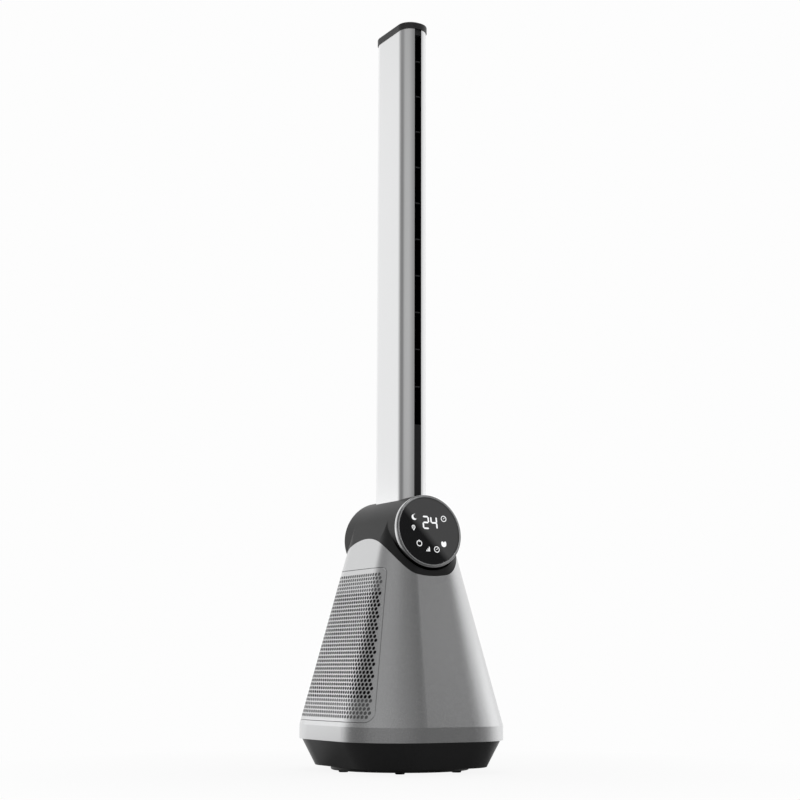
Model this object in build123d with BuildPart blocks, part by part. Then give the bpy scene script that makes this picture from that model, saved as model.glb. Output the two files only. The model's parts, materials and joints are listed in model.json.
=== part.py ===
"""Bladeless tower fan: a swinging blower housing on a round foot, with a slotted air column on top.

Millimetres, +Z up, front towards -Y, origin on the floor under the swing axis.
"""

from build123d import *
from math import acos, cos, pi, radians, sin, sqrt, tan
import os

# ------------------------------------------------------------------ driving dimensions
overall_height = 1000.0
running_clearance = 0.05  # radial, shaft in bush
seat_clearance = 0.3  # between pieces that drop into each other
contact_gap = 0.1  # between faces that slide or are clipped together

# silver body: a rounded rectangle that tapers upwards from a plain band
body_half_width = 112.0
body_half_length = 125.4
body_corner = 78.4
band_bottom = 39.4
band_top = 57.6
width_taper = 0.258  # per mm of height
length_taper = 0.239
corner_taper = 0.193
body_wall = 3.0
form_top = 316.0

# saddle: the silver body's top edge, an arch seen from the side, a trough seen from the front
saddle_crest = 283.3
saddle_arch_radius = 102.2
saddle_trough_radius = 125.0
saddle_reach = 95.0
saddle_cut_top = 380.0

# black lower base
tray_bottom = 6.2
tray_foot_half_width = 91.0
tray_foot_half_length = 104.4
tray_foot_corner = 57.0
tray_wall = 2.5
tray_floor = 3.0
tray_rim_height = 10.0

# round foot
foot_radius = 88.8
foot_plate_thickness = 3.9
foot_plate_bottom = 1.8
foot_edge_chamfer = 1.0
rubber_radius = 6.0
rubber_circle = 82.0
rubber_count = 6
rubber_seat_depth = 2.0

# swing pivot and gear pair
post_radius = 14.0
post_core_radius = 11.0
post_bore_radius = 4.0
bush_wall = 3.0
bush_flange = 0.5
hub_wall = 3.5
hub_height = 10.8
gear_module = 1.25
swing_gear_teeth = 36
pinion_teeth = 12
gear_width = 6.5
tooth_height_factor = 0.8
tooth_root_factor = 1.12
gear_backlash = 0.12  # taken off each tooth's width
pressure_angle = radians(20)
retainer_radius = 15.0
retainer_thickness = 2.0
pivot_screw_circle = 7.5
pivot_screw_count = 3
glide_radius = 5.0
glide_circle = 66.0
glide_count = 6
glide_seat_depth = 2.0

# swing motor, a geared can with an off-centre shaft
swing_can_radius = 14.0
swing_can_height = 19.0
swing_shaft_offset = 8.0
swing_shaft_radius = 2.5
swing_ear_reach = 17.5
swing_ear_thickness = 0.8
swing_ear_width = 7.0
swing_boss_radius = 4.5
swing_boss_height = 1.5
swing_post_radius = 4.0

# screws
screw_radius = 1.5
screw_head_radius = 2.8
screw_head_height = 1.8
screw_bite = 8.0
body_screw_radius = 1.75
body_screw_head_radius = 3.6
body_screw_x = 66.0
body_screw_y = 80.0
body_boss_radius = 5.0
body_boss_bottom = 52.0
body_boss_height = 14.0
body_rib_width = 2.5
tray_boss_radius = 6.0
tray_boss_cap = 5.6

# intake panels
grille_bottom = 63.0
grille_top = 254.6
grille_bottom_half = 97.3
grille_top_half = 60.8
grille_corner = 10.0
grille_thickness = 1.6
grille_ledge = 4.0
hole_pitch = 12.25
hole_radius = 3.9
hole_rows = 11
hole_first_row = 98.0
hole_margin = 9.0
hole_row_cycle = 3
filter_thickness = 1.5

# blower
frame_leg_circle = 70.0
frame_leg_radius = 4.0
frame_leg_foot_radius = 6.0
frame_mount_height = 6.0
frame_mount_seat = 14.0
frame_ring_bottom = 92.0
frame_ring_thickness = 4.0
frame_ring_outer = 75.0
frame_ring_inner = 63.0
leg_count = 4
shroud_screw_circle = 69.5
shroud_wall = 2.2
bell_radius = 60.0
bell_lip = 14.5
throat_radius = 45.5
casing_outlet_radius = 57.0
casing_top = 146.0
flange_thickness = 2.4
flange_width = 6.0
tip_clearance = 0.8
blade_count = 9
blade_thickness = 1.8
blade_twist = 40.0
hub_inlet_radius = 12.0
hub_outlet_radius = 36.0
hub_shell = 2.5
hub_boss_radius = 7.0
motor_shaft_radius = 2.5
motor_radius = 22.0
motor_height = 32.0
pod_wall = 2.6
pod_bottom = 150.0
vane_count = 7
vane_thickness = 2.0
vane_twist = -22.0
diffuser_top = 215.0
diffuser_outlet_radius = 44.0
tail_cone_height = 26.0
tail_tip_radius = 5.0

# neck: a level barrel with a collar that carries on the body's taper
barrel_radius = 46.0
barrel_axis = 302.2
barrel_wall = 2.5
barrel_reach = 90.0
barrel_rear_round = 4.0
rear_overhang = 5.8  # how far the barrel's rear end stands out from the body's taper
groove_start = 56.0
groove_slope = 0.229
skirt_angle = 18.4  # where the side of the collar leaves the barrel, degrees above level
spigot_bottom = 236.0
spigot_top = 290.0
collar_wall = 6.4
collar_cavity_top = 280.0
duct_opening_gap = 1.5  # round the duct where it enters the barrel from below

# display on the barrel's front end
display_forward = 73.8
display_height = 301.6
display_tilt = 10.5
glass_radius = 44.0
glass_thickness = 2.4
ring_radius = 47.75
ring_depth = 6.0
ring_inner_lip = 46.0
ring_groove_outer = 46.9
ring_groove_depth = 2.2
ring_rim_drop = 0.8
ring_spigot_length = 6.0
ring_spigot_wall = 1.7
light_box_radius = 38.5
light_box_depth = 4.3
digit_window_place = (2, 11)
digit_window_width = 25.0
digit_window_height = 19.0
sign_window = 8.0
board_thickness = 1.6
chip_size = 10.0
chip_height = 1.5

# air column
column_width = 40.0
column_length = 88.6
column_corner = 18.0
column_wall = 2.0
column_forward = 0.0
column_bottom = 318.3
cap_height = 9.0
cap_overhang = 1.2
cap_spigot = 8.0
cap_round = 1.5
slot_half_width = 5.2
slot_bottom = 443.0
rib_first = 944.4
rib_pitch = 50.1
rib_count = 10
rib_thickness = 1.2
nozzle_wall = 1.1
nozzle_depth = 26.0
nozzle_flare = 4.5
socket_wall = 2.7
ledge_height = 4.0
seal_height = 3.0
duct_wall = 1.8

# inlet in the rear of the base
inlet_half_width = 12.0
inlet_bottom = 17.0
inlet_height = 12.0
inlet_depth = 17.0
inlet_socket_half_width = 8.0
inlet_socket_height = 8.0
inlet_socket_depth = 10.0
inlet_pin_radius = 1.2
inlet_pin_spacing = 8.0

# ------------------------------------------------------------------ derived places
column_top = overall_height - cap_height
foot_plate_top = foot_plate_bottom + foot_plate_thickness
tray_inset = body_wall + seat_clearance + contact_gap
tray_floor_top = tray_bottom + tray_floor
hub_top = tray_floor_top + hub_height
gear_bottom = hub_top + bush_flange + 2 * contact_gap
gear_top = gear_bottom + gear_width
swing_gear_radius = gear_module * swing_gear_teeth / 2
pinion_radius = gear_module * pinion_teeth / 2
pinion_y = swing_gear_radius + pinion_radius
swing_can_y = pinion_y + swing_shaft_offset
swing_ear_z = gear_top + swing_boss_height + 1.3
barrel_top = barrel_axis + barrel_radius
ledge_bottom = column_bottom - seat_clearance - ledge_height
riser_top = ledge_bottom - seal_height
frame_ring_top = frame_ring_bottom + frame_ring_thickness
column_centre = (0, -column_forward)
display_plane = Plane(
    origin=(0, -display_forward, display_height),
    x_dir=(1, 0, 0),
    z_dir=(0, -cos(radians(display_tilt)), sin(radians(display_tilt))),
)


# ------------------------------------------------------------------ shared forms
def outline_at(height, inset=0.0):
    """Half width, half length and corner radius of the silver body at a height."""
    rise = max(height - band_top, 0.0)
    return (
        body_half_width - width_taper * rise - inset,
        body_half_length - length_taper * rise - inset,
        body_corner - corner_taper * rise - inset,
    )


def tray_outline_at(height, inset=0.0):
    """The same three sizes for the black base, which widens from its foot to the silver band."""
    share = (height - tray_bottom) / (band_bottom - tray_bottom)
    foot = (tray_foot_half_width, tray_foot_half_length, tray_foot_corner)
    rim = outline_at(band_bottom, tray_inset)
    return tuple(low + share * (high - low) - inset for low, high in zip(foot, rim))


def draw_outline(sizes):
    """Draw a rounded rectangle from half width, half length and corner radius."""
    half_width, half_length, corner = sizes
    RectangleRounded(2 * half_width, 2 * half_length, corner)


def body_slice(low, high, inset=0.0):
    """The tapering body's solid form between two heights above the band."""
    with BuildPart() as form:
        for height in (low, high):
            with BuildSketch(Plane.XY.offset(height)):
                draw_outline(outline_at(height, inset))
        loft(ruled=True)
    return form.part


def body_form(inset=0.0):
    """The band and the taper above it as one solid form."""
    with BuildPart() as form:
        with BuildSketch(Plane.XY.offset(band_bottom)):
            draw_outline(outline_at(band_bottom, inset))
        extrude(amount=band_top - band_bottom)
        add(body_slice(band_top, form_top, inset))
    return form.part


def tray_form(low, high, inset=0.0):
    """The black base's sloping form between two heights."""
    with BuildPart() as form:
        for height in (low, high):
            with BuildSketch(Plane.XY.offset(height)):
                draw_outline(tray_outline_at(height, inset))
        loft(ruled=True)
    return form.part


def above_saddle(lift=0.0):
    """Everything above the saddle surface: an arch turned about a level axis over the body."""
    crest = saddle_crest + lift
    end_height = crest - saddle_arch_radius + sqrt(saddle_arch_radius**2 - saddle_reach**2)
    with BuildPart() as region:
        with BuildSketch(Plane.YZ):
            with BuildLine():
                ThreePointArc(
                    (-saddle_reach, end_height), (0, crest), (saddle_reach, end_height)
                )
                Polyline(
                    (saddle_reach, end_height),
                    (saddle_reach, saddle_cut_top),
                    (-saddle_reach, saddle_cut_top),
                    (-saddle_reach, end_height),
                )
            make_face()
        revolve(axis=Axis((0, 0, crest + saddle_trough_radius), (0, 1, 0)))
    return region.part


def grille_prism(grow=0.0):
    """The intake window's outline, seen from the side, run through the body's right half."""
    with BuildPart() as prism:
        with BuildSketch(Plane.YZ.offset(body_half_width / 3)) as outline:
            with BuildLine():
                Polyline(
                    (-grille_bottom_half, grille_bottom),
                    (grille_bottom_half, grille_bottom),
                    (grille_top_half, grille_top),
                    (-grille_top_half, grille_top),
                    close=True,
                )
            make_face()
            fillet(outline.vertices(), grille_corner)
            if grow:
                offset(amount=grow, kind=Kind.ARC, mode=Mode.REPLACE)
        extrude(amount=body_half_width)
    return prism.part


def involute(angle):
    """The involute function of an angle."""
    return tan(angle) - angle


def gear_outline(teeth, first_tooth):
    """A spur gear's outline with a tooth centred on the angle first_tooth, in radians."""
    pitch = gear_module * teeth / 2
    base = pitch * cos(pressure_angle)
    tip = pitch + tooth_height_factor * gear_module
    root = pitch - tooth_root_factor * gear_module
    start = max(base, root)
    tooth_width = pi * gear_module / 2 - gear_backlash

    def half_angle(radius):
        rolled = acos(min(base / radius, 1.0))
        return tooth_width / (2 * pitch) + involute(pressure_angle) - involute(rolled)

    def point(radius, angle):
        return (radius * cos(angle), radius * sin(angle))

    middle = (start + tip) / 2
    step = 2 * pi / teeth
    with BuildSketch() as outline:
        with BuildLine():
            for tooth in range(teeth):
                centre = first_tooth + tooth * step
                foot = half_angle(start)
                Line(point(root, centre - foot), point(start, centre - foot))
                ThreePointArc(
                    point(start, centre - foot),
                    point(middle, centre - half_angle(middle)),
                    point(tip, centre - half_angle(tip)),
                )
                Line(
                    point(tip, centre - half_angle(tip)),
                    point(tip, centre + half_angle(tip)),
                )
                ThreePointArc(
                    point(tip, centre + half_angle(tip)),
                    point(middle, centre + half_angle(middle)),
                    point(start, centre + foot),
                )
                Line(point(start, centre + foot), point(root, centre + foot))
                Line(point(root, centre + foot), point(root, centre + step - foot))
        make_face()
    return outline.sketch


def screw_form(places, seat, head, shank, length, head_up):
    """Screws whose heads sit on the height seat and whose shanks run length past it."""
    way = 1 if head_up else -1
    with BuildPart() as form:
        with BuildSketch(Plane.XY.offset(seat)):
            with places:
                Circle(head)
        extrude(amount=way * screw_head_height)
        with BuildSketch(Plane.XY.offset(seat)):
            with places:
                Circle(shank)
        extrude(amount=-way * length)
    return form.part


def finish(piece, label):
    """Label a finished piece and write it to its own file."""
    piece.part.label = label
    export_step(piece.part, f"parts/{label}.step")


os.makedirs("parts", exist_ok=True)

# ------------------------------------------------------------------ foot
rubber_places = PolarLocations(rubber_circle, rubber_count)
pivot_screw_places = PolarLocations(pivot_screw_circle, pivot_screw_count, start_angle=90)

with BuildPart() as foot_plate:
    with BuildSketch(Plane.XY.offset(foot_plate_bottom)):
        Circle(foot_radius)
    extrude(amount=foot_plate_thickness)
    chamfer(foot_plate.edges().sort_by(Axis.Z)[0], foot_edge_chamfer)
    with BuildSketch(Plane.XY.offset(foot_plate_top)):
        Circle(post_radius)
    extrude(amount=gear_bottom - foot_plate_top)
    with BuildSketch(Plane.XY.offset(gear_bottom)):
        Circle(post_core_radius)
    extrude(amount=gear_width)
    with BuildSketch(Plane.XY.offset(foot_plate_bottom)):
        with rubber_places:
            Circle(rubber_radius + contact_gap)
    extrude(amount=rubber_seat_depth, mode=Mode.SUBTRACT)
    with BuildSketch(Plane.XY.offset(gear_top)):
        Circle(post_bore_radius)
    extrude(amount=-overall_height, mode=Mode.SUBTRACT)
    with BuildSketch(Plane.XY.offset(gear_top)):
        with pivot_screw_places:
            Circle(screw_radius + running_clearance)
    extrude(amount=-screw_bite - seat_clearance, mode=Mode.SUBTRACT)
finish(foot_plate, "foot_plate")

with BuildPart() as rubber_feet:
    with BuildSketch():
        with rubber_places:
            Circle(rubber_radius)
    extrude(amount=foot_plate_bottom + rubber_seat_depth)
    chamfer(rubber_feet.edges().group_by(Axis.Z)[0], rubber_radius / 10)
finish(rubber_feet, "rubber_feet")

with BuildPart() as swing_gear:
    with BuildSketch(Plane.XY.offset(gear_bottom)):
        add(gear_outline(swing_gear_teeth, pi / 2))
        Circle(post_core_radius + running_clearance, mode=Mode.SUBTRACT)
    extrude(amount=gear_width)
finish(swing_gear, "swing_gear")

with BuildPart() as pivot_retainer:
    with BuildSketch(Plane.XY.offset(gear_top)):
        Circle(retainer_radius)
        Circle(post_bore_radius, mode=Mode.SUBTRACT)
        with pivot_screw_places:
            Circle(screw_radius + running_clearance, mode=Mode.SUBTRACT)
    extrude(amount=retainer_thickness)
    chamfer(pivot_retainer.edges().group_by(Axis.Z)[-1].sort_by(SortBy.RADIUS)[-1], 0.5)
finish(pivot_retainer, "pivot_retainer")


with BuildPart() as pivot_screws:
    add(
        screw_form(
            pivot_screw_places,
            gear_top + retainer_thickness,
            screw_head_radius,
            screw_radius,
            retainer_thickness + screw_bite,
            True,
        )
    )
finish(pivot_screws, "pivot_screws")

# ------------------------------------------------------------------ black base
glide_places = PolarLocations(glide_circle, glide_count)
leg_places = PolarLocations(frame_leg_circle, leg_count, start_angle=45)
body_screw_places = GridLocations(2 * body_screw_x, 2 * body_screw_y, 2, 2)
swing_ear_places = Locations(
    (-swing_ear_reach, swing_can_y), (swing_ear_reach, swing_can_y)
)
board_width = 70.0
board_length = 46.0
board_forward = 69.0
standoff_height = 4.0
board_seat = tray_floor_top + standoff_height
standoff_radius = 3.0
standoff_margin = 4.0
capacitor_radius = 6.0
capacitor_height = 15.0
capacitor_places = ((0, -board_forward - 8), (24, -board_forward + 4))
# each block on the board: its place from the board's middle, its width, length and height
transformer = ((-22, -6), 20, 24, 16)
heat_sink = ((4, 14), 26, 6, 14)
connector = ((24, -14), 12, 8, 7)
inlet_y = tray_outline_at(inlet_bottom + inlet_height)[1]

with BuildPart() as base_tray:
    add(tray_form(tray_bottom, band_bottom))
    with BuildSketch(Plane.XY.offset(band_bottom)):
        draw_outline(outline_at(band_bottom, tray_inset))
    extrude(amount=tray_rim_height)
    add(tray_form(tray_floor_top, band_bottom, tray_wall), mode=Mode.SUBTRACT)
    with BuildSketch(Plane.XY.offset(band_bottom)):
        draw_outline(outline_at(band_bottom, tray_inset + tray_wall))
    extrude(amount=tray_rim_height, mode=Mode.SUBTRACT)
    # hub, motor posts, board posts, leg bosses and the tall screw bosses
    with BuildSketch(Plane.XY.offset(tray_bottom)):
        Circle(post_radius + bush_wall + hub_wall)
    extrude(amount=hub_top - tray_bottom)
    with BuildSketch(Plane.XY.offset(tray_bottom)):
        with swing_ear_places:
            Circle(swing_post_radius)
    extrude(amount=swing_ear_z - tray_bottom)
    with BuildSketch(Plane.XY.offset(tray_bottom)):
        with Locations((0, -board_forward)):
            with GridLocations(
                board_width - 2 * standoff_margin, board_length - 2 * standoff_margin, 2, 2
            ):
                Circle(standoff_radius)
    extrude(amount=board_seat - tray_bottom)
    with BuildSketch(Plane.XY.offset(tray_bottom)):
        with leg_places:
            Circle(frame_leg_foot_radius)
    extrude(amount=frame_mount_seat - tray_bottom)
    with BuildSketch(Plane.XY.offset(tray_bottom)):
        with body_screw_places:
            Circle(tray_boss_radius)
    extrude(amount=body_boss_bottom - seat_clearance - tray_bottom)
    # bores and recesses
    with BuildSketch(Plane.XY.offset(tray_bottom)):
        Circle(post_radius + bush_wall + running_clearance)
    extrude(amount=hub_top - tray_bottom, mode=Mode.SUBTRACT)
    with BuildSketch(Plane.XY.offset(tray_bottom)):
        with glide_places:
            Circle(glide_radius + contact_gap)
    extrude(amount=glide_seat_depth, mode=Mode.SUBTRACT)
    with BuildSketch(Plane.XY.offset(swing_ear_z)):
        with swing_ear_places:
            Circle(screw_radius + running_clearance)
    extrude(amount=-screw_bite - seat_clearance, mode=Mode.SUBTRACT)
    with BuildSketch(Plane.XY.offset(tray_bottom)):
        with body_screw_places:
            Circle(body_screw_head_radius + seat_clearance)
    extrude(
        amount=body_boss_bottom - tray_boss_cap - tray_bottom, mode=Mode.SUBTRACT
    )
    with BuildSketch(Plane.XY.offset(tray_bottom)):
        with body_screw_places:
            Circle(body_screw_radius + running_clearance)
    extrude(amount=body_boss_bottom - tray_bottom, mode=Mode.SUBTRACT)
    # window for the inlet in the rear wall
    with BuildSketch(Plane.XZ.offset(-inlet_y - tray_wall)):
        with Locations((0, inlet_bottom + inlet_height / 2)):
            Rectangle(
                2 * (inlet_half_width + seat_clearance), inlet_height + 2 * seat_clearance
            )
    extrude(amount=inlet_depth, mode=Mode.SUBTRACT)
finish(base_tray, "base_tray")

with BuildPart() as pivot_bush:
    with BuildSketch(Plane.XY.offset(tray_bottom + contact_gap)):
        Circle(post_radius + bush_wall)
    extrude(amount=hub_top - tray_bottom - contact_gap)
    with BuildSketch(Plane.XY.offset(hub_top)):
        Circle(post_radius + bush_wall + hub_wall)
    extrude(amount=bush_flange)
    with BuildSketch(Plane.XY.offset(tray_bottom)):
        Circle(post_radius + running_clearance)
    extrude(amount=gear_bottom - tray_bottom, mode=Mode.SUBTRACT)
finish(pivot_bush, "pivot_bush")

with BuildPart() as glide_pads:
    with BuildSketch(Plane.XY.offset(foot_plate_top + contact_gap)):
        with glide_places:
            Circle(glide_radius)
    extrude(amount=tray_bottom + glide_seat_depth - foot_plate_top - contact_gap)
finish(glide_pads, "glide_pads")

with BuildPart() as base_screws:
    add(
        screw_form(
            body_screw_places,
            body_boss_bottom - tray_boss_cap,
            body_screw_head_radius,
            body_screw_radius,
            tray_boss_cap + screw_bite,
            False,
        )
    )
finish(base_screws, "base_screws")

with BuildPart() as main_board:
    with BuildSketch(Plane.XY.offset(board_seat)):
        with Locations((0, -board_forward)):
            Rectangle(board_width, board_length)
    extrude(amount=board_thickness)
    for place, width, length, height in (transformer, heat_sink, connector):
        with BuildSketch(Plane.XY.offset(board_seat + board_thickness)):
            with Locations((place[0], place[1] - board_forward)):
                Rectangle(width, length)
        extrude(amount=height)
    with BuildSketch(Plane.XY.offset(board_seat + board_thickness)):
        with Locations(*capacitor_places):
            Circle(capacitor_radius)
    extrude(amount=capacitor_height)
finish(main_board, "main_board")

with BuildPart() as power_inlet:
    with BuildSketch(Plane.XZ.offset(-inlet_y)):
        with Locations((0, inlet_bottom + inlet_height / 2)):
            Rectangle(2 * inlet_half_width, inlet_height)
    extrude(amount=inlet_depth)
    add(
        tray_form(tray_bottom, band_bottom, 2 * seat_clearance),
        mode=Mode.INTERSECT,
    )
    with BuildSketch(Plane.XZ.offset(-inlet_y)):
        with Locations((0, inlet_bottom + inlet_height / 2)):
            SlotOverall(2 * inlet_socket_half_width, inlet_socket_height)
    extrude(amount=inlet_socket_depth, mode=Mode.SUBTRACT)
    with BuildSketch(Plane.XZ.offset(-inlet_y + inlet_depth - 1)):
        with Locations((0, inlet_bottom + inlet_height / 2)):
            with GridLocations(inlet_pin_spacing, 1, 2, 1):
                Circle(inlet_pin_radius)
    extrude(amount=-(inlet_depth - 1 - inlet_socket_depth / 3))
finish(power_inlet, "power_inlet")

# ------------------------------------------------------------------ swing drive
with BuildPart() as swing_motor:
    with BuildSketch(Plane.XY.offset(swing_ear_z)):
        with Locations((0, swing_can_y)):
            Circle(swing_can_radius)
    extrude(amount=swing_can_height)
    with BuildSketch(Plane.XY.offset(swing_ear_z)):
        with Locations((0, swing_can_y)):
            SlotOverall(2 * swing_ear_reach + swing_ear_width, swing_ear_width)
            with Locations((-swing_ear_reach, 0), (swing_ear_reach, 0)):
                Circle(screw_radius + running_clearance, mode=Mode.SUBTRACT)
    extrude(amount=swing_ear_thickness)
    with BuildSketch(Plane.XY.offset(swing_ear_z)):
        with Locations((0, pinion_y)):
            Circle(swing_boss_radius)
    extrude(amount=-swing_boss_height)
    with BuildSketch(Plane.XY.offset(swing_ear_z)):
        with Locations((0, swing_can_y + swing_can_radius)):
            Rectangle(swing_can_radius, swing_can_radius / 2)
    extrude(amount=swing_can_height - 2)
    with BuildSketch(Plane.XY.offset(swing_ear_z - swing_boss_height)):
        with Locations((0, pinion_y)):
            Circle(swing_shaft_radius + running_clearance)
    extrude(amount=screw_bite + swing_boss_height, mode=Mode.SUBTRACT)
finish(swing_motor, "swing_motor")

with BuildPart() as swing_motor_screws:
    add(
        screw_form(
            swing_ear_places,
            swing_ear_z + swing_ear_thickness,
            screw_head_radius,
            screw_radius,
            swing_ear_thickness + screw_bite,
            True,
        )
    )
finish(swing_motor_screws, "swing_motor_screws")

with BuildPart() as swing_pinion:
    with BuildSketch(Plane.XY.offset(gear_bottom + contact_gap)):
        add(gear_outline(pinion_teeth, pi / pinion_teeth + pi / 2))
        Circle(swing_shaft_radius, mode=Mode.SUBTRACT)
    extrude(amount=gear_width - 2 * contact_gap)
swing_pinion.part.locate(Location((0, pinion_y, 0)))
finish(swing_pinion, "swing_pinion")

with BuildPart() as pinion_shaft:
    with BuildSketch(Plane.XY.offset(gear_bottom + contact_gap)):
        with Locations((0, pinion_y)):
            Circle(swing_shaft_radius)
    extrude(amount=swing_ear_z + screw_bite - seat_clearance - gear_bottom - contact_gap)
finish(pinion_shaft, "pinion_shaft")

# ------------------------------------------------------------------ silver body and intakes
with BuildPart() as body_bosses:
    with BuildSketch(Plane.XY.offset(body_boss_bottom)):
        with body_screw_places:
            Circle(body_boss_radius)
        for side_x in (-1, 1):
            for side_y in (-1, 1):
                with Locations((side_x * body_screw_x, side_y * body_screw_y)):
                    Rectangle(
                        body_half_width,
                        body_rib_width,
                        rotation=45 * side_x * side_y,
                        align=(Align.CENTER, Align.CENTER),
                    )
    extrude(amount=body_boss_height)
    add(body_form(body_wall / 3), mode=Mode.INTERSECT)
    with BuildSketch(Plane.XY.offset(body_boss_bottom)):
        RectangleRounded(
            2 * body_screw_x - body_boss_radius,
            2 * body_screw_y - body_boss_radius,
            body_boss_radius,
        )
    extrude(amount=body_boss_height, mode=Mode.SUBTRACT)
    with BuildSketch(Plane.XY.offset(body_boss_bottom)):
        with body_screw_places:
            Circle(body_screw_radius + running_clearance)
    extrude(amount=screw_bite + seat_clearance, mode=Mode.SUBTRACT)

with BuildPart() as right_rebate:
    add(grille_prism())
    add(body_slice(band_top, form_top, grille_thickness + contact_gap), mode=Mode.SUBTRACT)

with BuildPart() as body_shell:
    add(body_form())
    add(body_form(body_wall), mode=Mode.SUBTRACT)
    add(above_saddle(), mode=Mode.SUBTRACT)
    add(body_bosses.part)
    add(right_rebate.part, mode=Mode.SUBTRACT)
    add(grille_prism(-grille_ledge), mode=Mode.SUBTRACT)
    mirror(right_rebate.part, about=Plane.YZ, mode=Mode.SUBTRACT)
    mirror(grille_prism(-grille_ledge), about=Plane.YZ, mode=Mode.SUBTRACT)
finish(body_shell, "body_shell")


def hole_centres():
    """Centres of the intake holes in the side view.

    Each row starts from the window's slanted front edge, a third of the pitch on from the row below.
    """
    centres = []
    slope = (grille_bottom_half - grille_top_half) / (grille_top - grille_bottom)
    for row in range(hole_rows):
        height = hole_first_row + row * hole_pitch
        half = grille_bottom_half - slope * (height - grille_bottom) - hole_margin
        along = -half + (row % hole_row_cycle) * hole_pitch / hole_row_cycle
        while along <= half:
            centres.append((along, height))
            along += hole_pitch
    return centres


with BuildPart() as right_grille:
    add(grille_prism(-seat_clearance))
    add(body_slice(band_top, form_top), mode=Mode.INTERSECT)
    add(body_slice(band_top, form_top, grille_thickness), mode=Mode.SUBTRACT)
    with BuildSketch(Plane.YZ):
        with Locations(*hole_centres()):
            RegularPolygon(hole_radius, 6)
    extrude(amount=body_half_width, mode=Mode.SUBTRACT)
finish(right_grille, "right_grille")

with BuildPart() as left_grille:
    mirror(right_grille.part, about=Plane.YZ)
finish(left_grille, "left_grille")

with BuildPart() as right_filter:
    add(grille_prism(-grille_ledge / 2))
    add(
        body_slice(band_top, form_top, body_wall + contact_gap),
        mode=Mode.INTERSECT,
    )
    add(
        body_slice(band_top, form_top, body_wall + contact_gap + filter_thickness),
        mode=Mode.SUBTRACT,
    )
finish(right_filter, "right_filter")

with BuildPart() as left_filter:
    mirror(right_filter.part, about=Plane.YZ)
finish(left_filter, "left_filter")

# ------------------------------------------------------------------ blower
shroud_screw_places = PolarLocations(shroud_screw_circle, leg_count)

with BuildPart() as frame_mounts:
    with BuildSketch(Plane.XY.offset(frame_mount_seat)):
        with leg_places:
            Circle(frame_leg_foot_radius)
    extrude(amount=frame_mount_height)
finish(frame_mounts, "frame_mounts")

with BuildPart() as blower_frame:
    with BuildSketch(Plane.XY.offset(frame_ring_bottom)):
        Circle(frame_ring_outer)
        Circle(frame_ring_inner, mode=Mode.SUBTRACT)
    extrude(amount=frame_ring_thickness)
    for place in leg_places.locations:
        with BuildSketch(Plane.XY.offset(frame_mount_seat + frame_mount_height)):
            with Locations(tuple(place.position)[:2]):
                Circle(frame_leg_foot_radius)
        with BuildSketch(Plane.XY.offset(frame_ring_bottom)):
            with Locations(tuple(place.position)[:2]):
                Circle(frame_leg_radius)
        loft()
    with BuildSketch(Plane.XY.offset(frame_ring_bottom)):
        with shroud_screw_places:
            Circle(screw_radius + running_clearance)
    extrude(amount=frame_ring_thickness, mode=Mode.SUBTRACT)
finish(blower_frame, "blower_frame")

bell_centre_z = frame_ring_top + bell_lip
bell_slant = bell_lip * (1 - sqrt(0.5))
outer_lip = bell_lip - shroud_wall
outer_slant = bell_lip - outer_lip * sqrt(0.5)

with BuildPart() as fan_shroud:
    with BuildSketch(Plane.XZ):
        with BuildLine():
            ThreePointArc(
                (bell_radius, frame_ring_top),
                (throat_radius + bell_slant, frame_ring_top + bell_slant),
                (throat_radius, bell_centre_z),
            )
            Polyline(
                (throat_radius, bell_centre_z),
                (casing_outlet_radius, casing_top),
                (casing_outlet_radius + flange_width, casing_top),
                (casing_outlet_radius + flange_width, casing_top - flange_thickness),
                (casing_outlet_radius + shroud_wall, casing_top - flange_thickness),
                (throat_radius + shroud_wall, bell_centre_z),
            )
            ThreePointArc(
                (throat_radius + shroud_wall, bell_centre_z),
                (throat_radius + outer_slant, frame_ring_top + outer_slant),
                (bell_radius, frame_ring_top + shroud_wall),
            )
            Polyline(
                (bell_radius, frame_ring_top + shroud_wall),
                (frame_ring_outer, frame_ring_top + shroud_wall),
                (frame_ring_outer, frame_ring_top),
                (bell_radius, frame_ring_top),
            )
        make_face()
    revolve(axis=Axis.Z)
    with BuildSketch(Plane.XY.offset(frame_ring_top)):
        with shroud_screw_places:
            Circle(screw_radius + running_clearance)
    extrude(amount=shroud_wall, mode=Mode.SUBTRACT)
finish(fan_shroud, "fan_shroud")

with BuildPart() as shroud_screws:
    add(
        screw_form(
            shroud_screw_places,
            frame_ring_top + shroud_wall,
            screw_head_radius,
            screw_radius,
            shroud_wall + frame_ring_thickness,
            True,
        )
    )
finish(shroud_screws, "shroud_screws")

impeller_bottom = frame_ring_top + bell_lip / 2 + 3
impeller_top = casing_top - 2
hub_middle = ((hub_inlet_radius + hub_outlet_radius) / 2 - 5, (impeller_bottom + impeller_top) / 2)
motor_bottom = pod_bottom + pod_wall
motor_top = motor_bottom + motor_height
shaft_bore_depth = motor_height / 2

with BuildPart() as blade_space:
    with BuildSketch(Plane.XZ):
        with BuildLine():
            ThreePointArc(
                (hub_inlet_radius - hub_shell / 2, impeller_bottom + 1),
                (hub_middle[0] - hub_shell / 2, hub_middle[1]),
                (hub_outlet_radius - hub_shell / 2, impeller_top - 1),
            )
            Polyline(
                (hub_outlet_radius - hub_shell / 2, impeller_top - 1),
                (casing_outlet_radius - tip_clearance - 1, impeller_top - 1),
                (throat_radius - tip_clearance, bell_centre_z),
                (throat_radius - tip_clearance, impeller_bottom + 1),
                (hub_inlet_radius - hub_shell / 2, impeller_bottom + 1),
            )
        make_face()
    revolve(axis=Axis.Z)

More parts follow.
